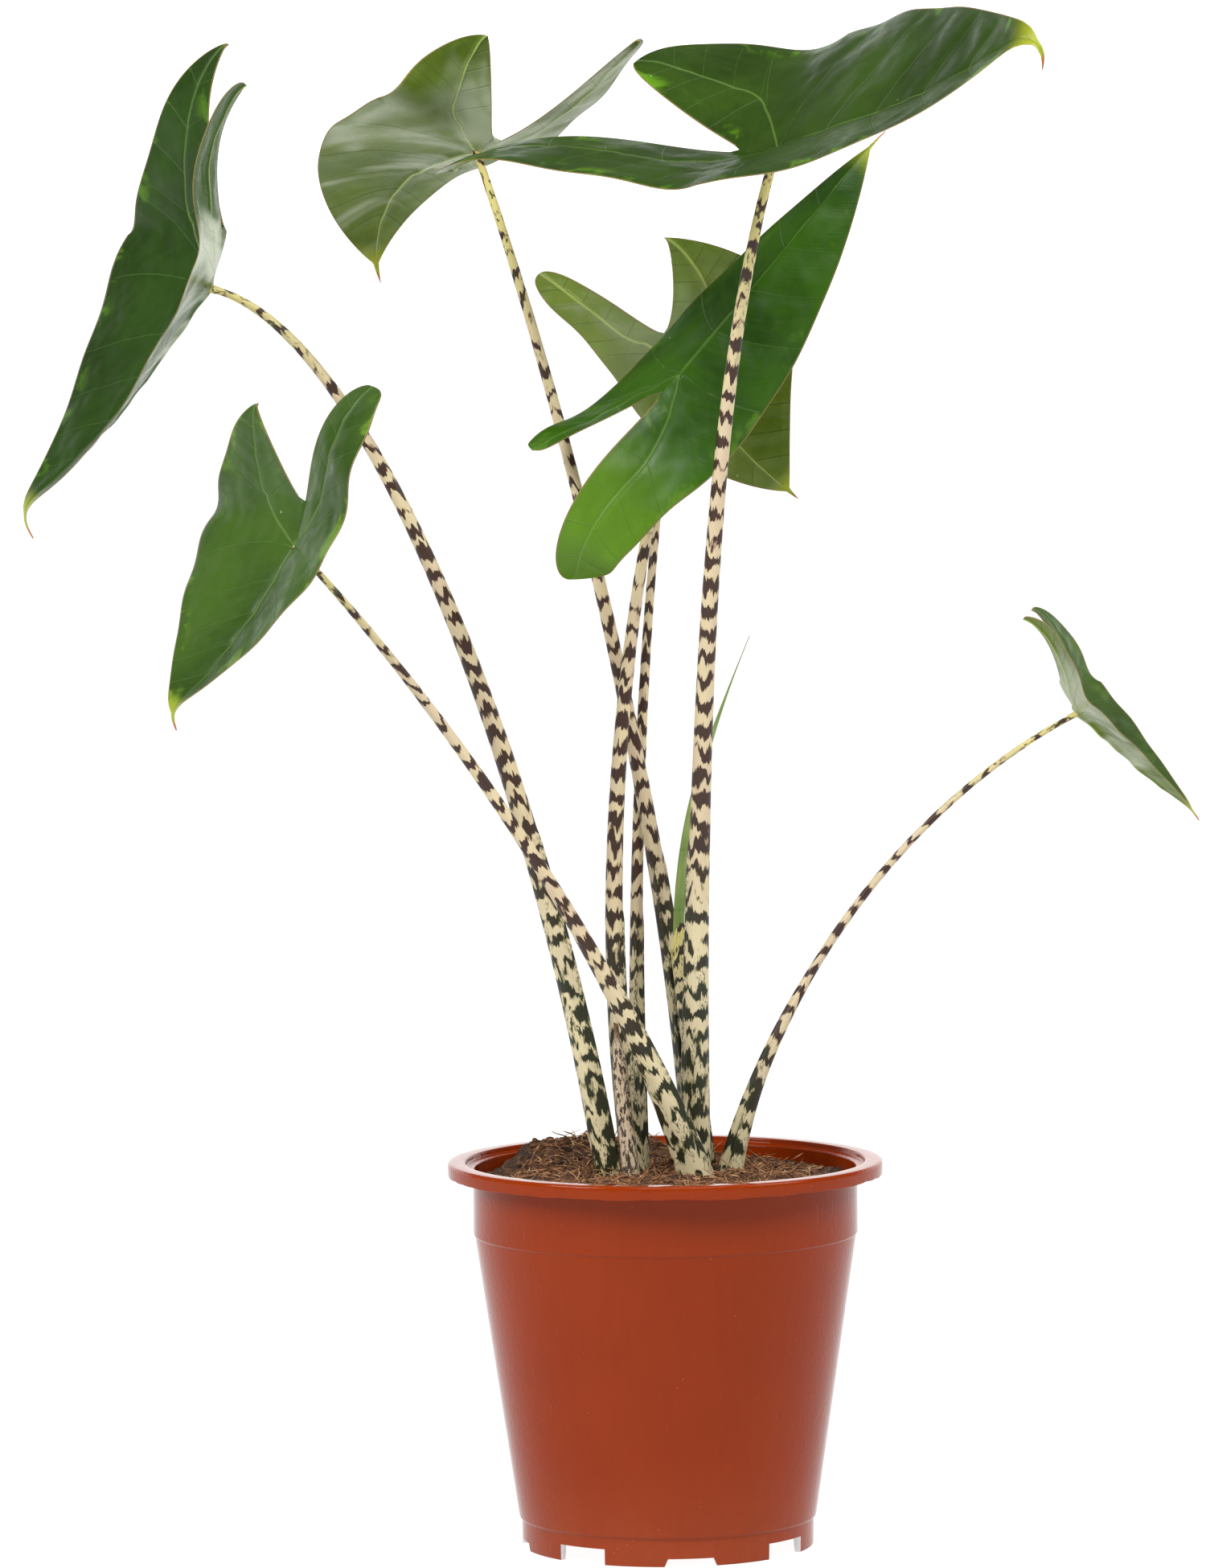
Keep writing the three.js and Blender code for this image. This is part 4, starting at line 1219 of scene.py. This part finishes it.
def walk(leaf, length, upward, sideways):
    """Stations (point, left, up) from the junction on, turning at each step by these angles."""
    heading, pitch, roll = (math.radians(leaf[key]) for key in ("heading", "pitch", "roll"))
    forward = Vector((
        math.cos(heading) * math.cos(pitch),
        math.sin(heading) * math.cos(pitch),
        math.sin(pitch),
    ))
    level = Vector((-math.sin(heading), math.cos(heading), 0))
    left = turned(level, forward, roll)
    up = turned(forward.cross(level), forward, roll)
    point = Vector(leaf["at"])
    stations = [(point[:], left[:], up[:])]
    for lifted, swung in zip(upward, sideways):
        forward = turned(forward, left, -lifted)
        up = turned(up, left, -lifted)
        left = turned(left, up, swung)
        forward = turned(forward, up, swung)
        point = point + forward * (length / SPINE_STEPS)
        stations.append((point[:], left[:], up[:]))
    return np.array(stations)


def midrib(leaf):
    x = np.linspace(0, 1, SPINE_STEPS + 1)
    hook = leaf["hook"] * ramp(x, 0.86, 0.14)
    pitch = np.radians(-leaf["droop"] * x * x - leaf["tip"] * ramp(x, 0.82, 0.18) - hook)
    swerve = np.full(SPINE_STEPS, math.radians(leaf["swerve"]) / SPINE_STEPS)
    return walk(leaf, leaf["length"], np.diff(pitch), swerve)


def lobe_spine(leaf, side):
    x = np.linspace(0, 1, SPINE_STEPS + 1)
    lifted = leaf["lift"][side] * (1 - (1 - x) ** 3) - leaf["sag"][side] * x * x
    return walk(leaf, -leaf["lobe"][side], np.diff(-np.radians(lifted)), np.zeros(SPINE_STEPS))


def stations_at(spine, place):
    """Points and directions at these shares of the spine."""
    at = np.clip(place, 0, 1) * SPINE_STEPS
    i = np.minimum(at.astype(int), SPINE_STEPS - 1)
    mix = (at - i)[:, None, None]
    return spine[i] * (1 - mix) + spine[i + 1] * mix


def side_rows(leaf, side):
    """Distances along the leaf of the rows of one half, from its lobe's end to the tip."""
    sinus = leaf["sinus"]
    turn = np.arange(LOBE_ROWS) / LOBE_ROWS * (math.pi / 2)
    behind_sinus = -sinus - (leaf["lobe"][side] - sinus) * np.cos(turn)
    neck = -sinus * (1 - np.arange(NECK_ROWS) / NECK_ROWS)
    front = leaf["length"] * np.sin(np.linspace(0, math.pi / 2, FRONT_ROWS + 1))
    return np.concatenate([behind_sinus, neck, front])


def row_shapes(leaf, side, s):
    """Inner and outer distance, fold and curl of the rows at s."""
    width, spread, blunt, lobe = (leaf[key][side] for key in ("width", "spread", "blunt", "lobe"))
    x = np.clip(s / leaf["length"], 0, 1)
    y = np.clip(-s / lobe, 0, 1)
    q = np.clip((-s - leaf["sinus"]) / (lobe - leaf["sinus"]), 0, 1)
    front = s >= 0
    inner = np.where(front, 0, width * lobe_inner(q, spread, blunt))
    outer = width * np.where(front, front_width(x), lobe_outer(y, spread, blunt))
    bend = [
        np.where(
            front,
            between((leaf[key][side], leaf[key + "_tip"][side]), x),
            between((leaf[key][side], leaf["lobe_" + key][side]), y),
        )
        for key in ("fold", "curl")
    ]
    return inner, outer, bend[0], bend[1]


def rib_distance(leaf, side, s):
    """How far from the midline the main vein of a lobe runs."""
    inner, outer, _, _ = row_shapes(leaf, side, s)
    leave = soft_step(-s / (LOBE_RIB_LEAVES * leaf["lobe"][side]))
    return inner + (outer - inner) * LOBE_RIB_SHARE * np.sqrt(leave)


def vein_phase(place, paths):
    """A coordinate that is whole on each of the paths, and the distance between the paths there."""
    paths = np.maximum.accumulate(np.array(paths), axis=0)
    first_gap = np.maximum(paths[1] - paths[0], 1)
    gap = first_gap
    phase = np.full(place.shape, -VEINLESS)
    for k, path in enumerate(paths):
        following = paths[k + 1] if k + 1 < len(paths) else path + gap
        inside = place >= path
        step = np.maximum(following - path, 1)
        gap = np.where(inside, step, gap)
        phase = np.where(inside, k + (place - path) / step, phase)
    before = np.clip((place - paths[0]) / first_gap, -VEINLESS, 0)
    phase = np.where(place < paths[0], before, phase)
    return np.minimum(phase, len(paths) - 1 + VEINLESS), gap


def vein_fields(leaf, side, s, d):
    """Where the veins run: phases and gaps of the side veins, distance from the rib, and their strength."""
    width, length, lobe = leaf["width"][side], leaf["length"], leaf["lobe"][side]
    t = d / width
    rib_at = rib_distance(leaf, side, s)
    slant = np.sqrt(1 + np.gradient(rib_at, s) ** 2)[:, None]
    off_lobe_rib = (d - rib_at[:, None]) / slant
    s = s[:, None] + 0 * d
    margin = soft_step((1.0 - t) / VEIN_MARGIN)
    front_phase, front_gap = vein_phase(
        s, [start * length + width * (slope * t + bend * t * t) for start, slope, bend in LATERALS],
    )
    front_fade = margin * np.where(s < 0, soft_step(off_lobe_rib / 3), 1)
    away = np.abs(off_lobe_rib)
    lobe_phase, lobe_gap = vein_phase(
        -s, [share * lobe + LOBE_VEIN_SLOPE * away + LOBE_VEIN_BEND * away * away for share in LOBE_VEINS],
    )
    lobe_fade = soft_step((-s - 8) / 14) * soft_step((1 - away / width) / 0.5)
    starts, slopes, _ = zip(*LATERALS[1:])
    slope = np.interp(s / length, (-0.5, *starts), (-1.4, *slopes))
    flow = s - width * (slope * t + FLOW_BEND * t * t)
    return dict(
        front_phase=front_phase, front_gap=front_gap, front_fade=front_fade, lobe_phase=lobe_phase,
        lobe_gap=lobe_gap, lobe_fade=lobe_fade, off_lobe_rib=off_lobe_rib, flow=flow,
    )


def valley_line(fields, part, width):
    """A soft line along the veins of the front or of a lobe."""
    phase = fields[part + "_phase"]
    off = np.abs(phase - np.round(phase)) * fields[part + "_gap"]
    return bell(off / width) * fields[part + "_fade"]


def relief_lines(fields, s, d, length, lobe):
    """The soft valleys along the side veins and the ribs, as 0 to 1."""
    valley = np.maximum(valley_line(fields, "front", 5), valley_line(fields, "lobe", 4.5) * 0.7)
    on_midrib = bell(d / (1.9 - 0.9 * np.clip(s / length, 0, 1))) * (s > -4)
    on_lobe_rib = bell(fields["off_lobe_rib"] / (1.7 + 0.7 * s / lobe)) * (s <= 0)
    return valley, np.maximum(on_midrib, on_lobe_rib)


def bent_section(d, half, fold, curl):
    """How far across and above the spine the points at a distance along a folded and curled section lie."""
    across = np.zeros_like(d)
    above = np.zeros_like(d)
    for k in range(BEND_STEPS):
        share = (k + 0.5) / BEND_STEPS * d / half
        angle = np.radians(fold[:, None] + curl[:, None] * share * share)
        across += np.cos(angle) * d / BEND_STEPS
        above += np.sin(angle) * d / BEND_STEPS
    return across, above


def half_sheet(leaf, side, spines):
    """One half of a blade as a grid of points, with what is known at each of them."""
    s = side_rows(leaf, side)
    inner, outer, fold, curl = row_shapes(leaf, side, s)
    column = np.linspace(0, 1, BLADE_COLUMNS) ** 1.2
    d = inner[:, None] + (outer - inner)[:, None] * column
    half = leaf["width"][side]
    front = stations_at(spines["front"], s / leaf["length"])
    back = stations_at(spines["back"][side], -s / leaf["lobe"][side])
    station = np.where((s >= 0)[:, None, None], front, back)
    point, left, up = (station[:, k][:, None] for k in range(3))

    across, above = bent_section(d, half, fold, curl)
    outward, phase = (1, 2) if side == LEFT else (-1, 0)
    span = leaf["lobe"][side] + leaf["length"]
    wave = leaf["ripple"] * np.sin(RIPPLE_WAVES * math.tau * s / span + phase)
    above += wave[:, None] * (d / half) ** 2
    points = point + left * (outward * across)[..., None] + up * above[..., None]
    if side == RIGHT:
        shared = (s < 0) & (s >= -leaf["sinus"] - 1e-6)
        common = stations_at(spines["back"][LEFT], -s[shared] / leaf["lobe"][LEFT])
        points[shared, 0] = common[:, 0]

    along = np.broadcast_to(s[:, None], d.shape)
    fields = vein_fields(leaf, side, s, d)
    valley, rib = relief_lines(fields, along, d, leaf["length"], leaf["lobe"][side])
    edge = np.minimum(outer[:, None] - d, np.where(inner[:, None] > 0.01, d - inner[:, None], 1e3))
    edge = np.minimum(edge, (leaf["length"] - along) * 0.3 + 0.6)
    return dict(
        points=points, across=outward * d, along=along, rib=rib, valley=valley, edge=np.maximum(edge, 0),
        reach=along / leaf["length"], **fields,
    )


def blade_sheet(leaf):
    """The whole blade as welded points, faces that look up, and the values at each point."""
    spines = {"front": midrib(leaf), "back": [lobe_spine(leaf, LEFT), lobe_spine(leaf, RIGHT)]}
    halves = [half_sheet(leaf, side, spines) for side in (LEFT, RIGHT)]
    faces = []
    start = 0
    for side, half in enumerate(halves):
        rows, columns = half["edge"].shape
        quads = np.array(grid_faces(rows, columns, False, start))
        faces.append(quads[:, ::-1] if side == LEFT else quads)
        start += rows * columns
    points = np.concatenate([half["points"].reshape(-1, 3) for half in halves])
    _, first, weld = np.unique(np.round(points, 4), axis=0, return_index=True, return_inverse=True)
    faces = weld.ravel()[np.concatenate(faces)]
    values = {
        key: np.concatenate([half[key].ravel() for half in halves])[first]
        for key in halves[0]
        if key != "points"
    }
    return points[first], clean_faces(faces), values


def clean_faces(quads):
    """Quads with doubled corners taken out."""
    faces = []
    for quad in quads:
        kept = [int(c) for k, c in enumerate(quad) if c != quad[k - 1]]
        if len(kept) > 2:
            faces.append(kept)
    return faces


def sheet_normals(points, faces):
    """The direction that the sheet faces at each point, from two lines across each face beside it."""
    normals = np.zeros_like(points)
    for size, first, second in ((3, (0, 1), (0, 2)), (4, (0, 2), (1, 3))):
        group = np.array([face for face in faces if len(face) == size])
        if len(group) == 0:
            continue
        corners = points[group]
        lines = [corners[:, end] - corners[:, start] for start, end in (first, second)]
        normal = np.cross(*lines)
        for k in range(size):
            np.add.at(normals, group[:, k], normal)
    return normals / np.maximum(np.linalg.norm(normals, axis=1), 1e-12)[:, None]


def open_edges(faces):
    directed = {(face[k - 1], face[k]) for face in faces for k in range(len(face))}
    return [(a, b) for a, b in directed if (b, a) not in directed]


def blade_relief(points, v):
    """How far the upper and lower face stand from the sheet's middle at each point."""
    thinned_over = 6
    calm_over = 12
    thin = soft_step(v["edge"] / thinned_over)
    half = between((MARGIN_THICKNESS, BLADE_THICKNESS), thin) / 2
    quilt = np.array([noise.fractal(Vector(p) * 0.045, 0.8, 2, 3) for p in points])
    sway = QUILT_DEPTH * quilt * soft_step(v["edge"] / calm_over) - VALLEY_DEPTH * v["valley"] * thin
    keel = KEEL_DEPTH * v["rib"] * np.where(v["along"] > 0, 1 - 0.85 * v["reach"], 0.75)
    upper = half + sway - RIB_GROOVE * v["rib"] * thin
    lower = -half + sway - keel
    return upper, lower


def add_blade(name):
    points, faces, v = blade_sheet(LEAVES[name])
    normals = sheet_normals(points, faces)
    upper, lower = blade_relief(points, v)
    count = len(points)
    shell = np.concatenate([points + normals * upper[:, None], points + normals * lower[:, None]])
    wall = [(b, a, a + count, b + count) for a, b in open_edges(faces)]
    below = [tuple(i + count for i in reversed(face)) for face in faces]
    v["under"] = np.zeros(count)

    def on_both(*keys):
        upper_side = np.stack([v[key] for key in keys], 1)
        lower_side = upper_side + np.array([key == "under" for key in keys])
        return np.concatenate([upper_side, lower_side])

    piece = new_piece(
        "leaf_blade_" + name, shell, [*faces, *below, *wall], blade_finish(name),
        plan=on_both("flow", "across", "along"),
        front_veins=on_both("front_phase", "front_gap", "front_fade"),
        lobe_veins=on_both("lobe_phase", "lobe_gap", "lobe_fade"),
        place=on_both("off_lobe_rib", "under", "edge"),
        reach=on_both("reach").ravel(),
    )
    take_place(piece, "blade", "blade_" + name)


# Stalks


def bezier(ends, share):
    """Points and directions of a cubic bend at these shares."""
    a, b, c, d = (np.array(p, float) for p in ends)
    t = share[:, None]
    points = a * (1 - t) ** 3 + 3 * b * t * (1 - t) ** 2 + 3 * c * t * t * (1 - t) + d * t ** 3
    along = 3 * ((b - a) * (1 - t) ** 2 + 2 * (c - b) * t * (1 - t) + (d - c) * t * t)
    return points, along / np.linalg.norm(along, axis=1)[:, None]


def stalk_radius(radii, share, sheath_share):
    low = between((radii[0], radii[1]), soft_step(share / sheath_share))
    above = np.clip((share - sheath_share) / max(1e-6, 1 - sheath_share), 0, 1) ** 0.9
    return np.where(share <= sheath_share, low, between((radii[1], radii[2]), above))


def section(angle, strength, crest):
    """The stalk's outline round its groove: a groove, two broad wings and their thin raised edges."""
    from_groove = np.abs(within_half_turn(angle))
    groove = GROOVE_DEPTH * bell(from_groove / GROOVE_WIDTH)
    wing = WING_RISE * bell((from_groove - WING_ANGLE) / WING_WIDTH)
    edge = WING_CREST * bell((from_groove - CREST_ANGLE) / CREST_WIDTH)
    return 1 + strength * (wing - groove) + crest * edge


def near_top(length, depth):
    """1 at the end of these lengths, falling to 0 at this depth below it."""
    return soft_step((length - length[-1] + depth) / depth)


def round_grid():
    """Shares along a tube and angles round it."""
    return np.linspace(0, 1, STALK_STEPS + 1), np.arange(STALK_SIDES) * math.tau / STALK_SIDES


def shaped_top(points, along, share, angle, stalk):
    """An open top cut at a slant, or torn into a ragged edge."""
    if stalk["slant"]:
        lower_side = (1 + np.cos(angle + 1.9)) / 2
        drop = (stalk["slant"] * lower_side)[None, :, None]
        points = points - along[:, None] * drop * ramp(share, 0.7, 0.3)[:, None, None]
    if stalk["torn"]:
        round_edge = [Vector((math.cos(a) * 2, math.sin(a) * 2, 1)) for a in angle]
        ragged = np.array([noise.fractal(place, 0.7, 2, 4) for place in round_edge])
        top = ramp(share, 0.85, 0.15)[:, None, None]
        points = points + along[:, None] * (stalk["torn"] * ragged)[None, :, None] * top
    return points


def tube(name, stalk, top, material, sheath_share=1, blade=None):
    """A stalk up to its top. Its attributes say where a point lies round and along it, straightened out."""
    share, angle = round_grid()
    centre, along = bezier([(*stalk["foot"], STALK_FOOT), stalk["rise"], stalk["reach"], top], share)
    heading = math.radians(stalk["groove"])
    facing = np.array([math.cos(heading), math.sin(heading), 0.5])
    to_groove = facing - along * (along @ facing)[:, None]
    to_groove /= np.linalg.norm(to_groove, axis=1)[:, None]
    beside = np.cross(along, to_groove)

    strength = 1 - ramp(share, sheath_share * 0.6, sheath_share * 0.6)
    crest = 1 - ramp(share, sheath_share * 0.97, 0.02)
    radius = stalk_radius(stalk["radius"], share, sheath_share)[:, None]
    if stalk["torn"]:
        radius = radius * (1 - TORN_NARROWING * ramp(share, 0.78, 0.22))[:, None]
    radius = radius * section(angle[None, :], strength[:, None], crest[:, None])
    leftward = np.arctan2(beside[:, 0], -to_groove[:, 0])[:, None]
    flare, flare_end = stalk["flare"]
    off = np.abs(within_half_turn(angle[None] - leftward))
    radius = radius + flare * bell(off / FLARE_WIDTH) * (1 - soft_step(share / flare_end))[:, None]
    length = np.concatenate([[0], np.cumsum(np.linalg.norm(np.diff(centre, axis=0), axis=1))])
    radius = radius * (1 + TOP_SWELL * near_top(length, 7)[:, None] * (blade is not None))

    wrap = np.stack([
        radius * np.cos(angle), radius * np.sin(angle), np.broadcast_to(length[:, None], radius.shape),
    ], 2)
    points = centre[:, None] + to_groove[:, None] * wrap[..., :1] - beside[:, None] * wrap[..., 1:2]
    if blade is not None:
        points = mitre(points, along, length, blade)
    points = shaped_top(points, along, share, angle, stalk)
    from_crest = np.abs(within_half_turn(angle)) - CREST_ANGLE
    crest_lines = bell(from_crest / CREST_LINE_WIDTH)[None] * crest[:, None]
    return new_piece(
        name, points.reshape(-1, 3), tube_faces(STALK_STEPS + 1, STALK_SIDES), material,
        wrap=wrap.reshape(-1, 3) + np.array([0, 0, band_shift(name)]),
        height=np.repeat(share, STALK_SIDES),
        sheath=np.repeat(strength, STALK_SIDES),
        wing=crest_lines.ravel(),
    )


def band_shift(name):
    """A different stretch of the band pattern for each stalk."""
    return sum(ord(letter) * (k + 1) for k, letter in enumerate(name)) % 900


def mitre(points, along, length, leaf):
    """Trims the top of a stalk to the underside of its blade, whose halves may fold down over it."""
    at, left, up = walk(leaf, 1, [0], [0])[0]
    least_steepness = 0.25
    most = 5
    eased_over = 10
    trimmed_over = 14
    steepness = along[-1] @ up
    if abs(steepness) < least_steepness:
        steepness = least_steepness
    gap = np.clip((-SEAT_DEPTH - (points[-1] - at) @ up) / steepness, -most, most)
    points = points + along[:, None] * (gap[None, :] * near_top(length, eased_over)[:, None])[..., None]
    beside = (points - at) @ left
    fold = np.where(beside > 0, leaf["fold"][LEFT], leaf["fold"][RIGHT])
    ceiling = np.minimum(0, np.tan(np.radians(fold))) * np.abs(beside) - SEAT_DEPTH
    above = np.maximum(0, (points - at) @ up - ceiling)
    trimmed = (length > length[-1] - trimmed_over)[:, None]
    return points - up * (above * trimmed)[..., None]


def add_stalk(name, material):
    leaf = LEAVES[name]
    piece = tube("leaf_stalk_" + name, STALKS[name], leaf["at"], material, SHEATH_SHARE, leaf)
    take_place(piece, "stalk", "petiole_" + name)


def add_new_leaf(material):
    """The rolled leaf, lapped like a scroll and drawn out to a point, in its sheath."""
    sheath = tube("young_leaf_sheath", NEW_SHEATH, NEW_SHEATH["top"], material)
    take_place(sheath, "stalk", "new_leaf_sheath")

    taper = 0.93
    lap_turn = 2
    lap_step = 0.2
    ring_width = 0.5
    share, angle = round_grid()
    centre, _ = bezier(NEW_LEAF_ENDS, share)
    swell = 1 - taper * ramp(share, 0.35, 0.65)
    twist = angle[None] - lap_turn * share[:, None]
    lap = 1 + lap_step * (np.mod(twist, math.tau) / math.tau - 0.4)
    radius = NEW_LEAF_RADIUS * swell[:, None] * lap
    length = share * NEW_LEAF_LENGTH
    offset = np.stack([radius * np.cos(angle), -radius * np.sin(angle), np.zeros_like(radius)], 2)
    wrap = offset + np.array([0, 0, 1]) * length[:, None, None]
    rings = sum(bell((length - place) / ring_width) for place in NEW_LEAF_RINGS)
    leaf = new_piece(
        "rolled_young_leaf", (centre[:, None] + offset).reshape(-1, 3),
        tube_faces(STALK_STEPS + 1, STALK_SIDES), young_leaf_finish(),
        wrap=wrap.reshape(-1, 3),
        height=np.repeat(share, STALK_SIDES),
        ring=np.repeat(rings, STALK_SIDES),
    )
    take_place(leaf, "young_leaf", "new_leaf")


def add_old_base():
    piece = tube("withered_stalk_stump", OLD_BASE, OLD_BASE["top"], withered_finish())
    take_place(piece, "withered", "old_leaf_base")


def dress_corms():
    material = corm_finish()
    for node in ("corm_left", "corm_right"):
        corm = frame["nodes"][node]
        corm.data.materials.clear()
        corm.data.materials.append(material)


# Stage


def add_floor():
    side = 40
    corners = [(-side, -side, 0), (side, -side, 0), (side, side, 0), (-side, side, 0)]
    mesh = plain_mesh("floor", corners, [(0, 1, 2, 3)])
    mesh.materials.append(floor_finish())
    floor = linked("floor", mesh)


def add_softbox(name, place, size, power):
    light = bpy.data.lights.new(name, "AREA")
    light.shape = "RECTANGLE"
    light.size, light.size_y = size
    light.energy = power
    lamp = linked(name, light)
    lamp.location = place
    lamp.rotation_mode = "QUATERNION"
    lamp.rotation_quaternion = (Vector(PLANT_MIDDLE) - Vector(place)).to_track_quat("-Z", "Y")


def add_world():
    """A dim studio with a tall white backdrop behind the plant."""
    world = bpy.data.worlds.new("studio")
    world.use_nodes = True
    studio = Nodes(world.node_tree)
    _, backward, upward = studio.parts(studio.node("ShaderNodeTexCoord")["Generated"])
    backdrop = studio.times(studio.span(backward, 0.45, 0.75), studio.span(upward, 0.48, 0.24))
    background = world.node_tree.nodes["Background"]
    background.inputs["Color"].default_value = (1, 1, 1, 1)
    studio.feed(background.inputs["Strength"], studio.span(backdrop, 0.0, 1.0, 0.18, 1.5))
    bpy.context.scene.world = world


def add_camera():
    eye, aim = (Vector(to_metres(p)) for p in (EYE, AIM))
    forward = (aim - eye).normalized()
    right = forward.cross(Vector((0, 0, 1))).normalized()
    up = right.cross(forward)
    roll = math.radians(CAMERA_ROLL)
    rolled_right = right * math.cos(roll) + up * math.sin(roll)
    rolled_up = up * math.cos(roll) - right * math.sin(roll)
    data = bpy.data.cameras.new("camera")
    data.sensor_width = SENSOR
    data.lens = FOCAL_PIXELS * SENSOR / FRAME_HEIGHT_PIXELS
    data.clip_end = 50
    camera = linked("camera", data)
    turn = Matrix((rolled_right, rolled_up, -forward)).transposed()
    camera.matrix_world = Matrix.Translation(eye) @ turn.to_4x4()
    bpy.context.scene.camera = camera


bpy.context.scene.view_settings.view_transform = "Standard"
add_camera()
add_pot()
add_soil()
for leaf_name in LEAVES:
    add_blade(leaf_name)
banded = stalk_finish()
for stalk_name in STALKS:
    add_stalk(stalk_name, banded)
add_new_leaf(banded)
add_old_base()
dress_corms()
add_floor()
add_world()
for box_name, box in SOFTBOXES.items():
    add_softbox(box_name, *box)
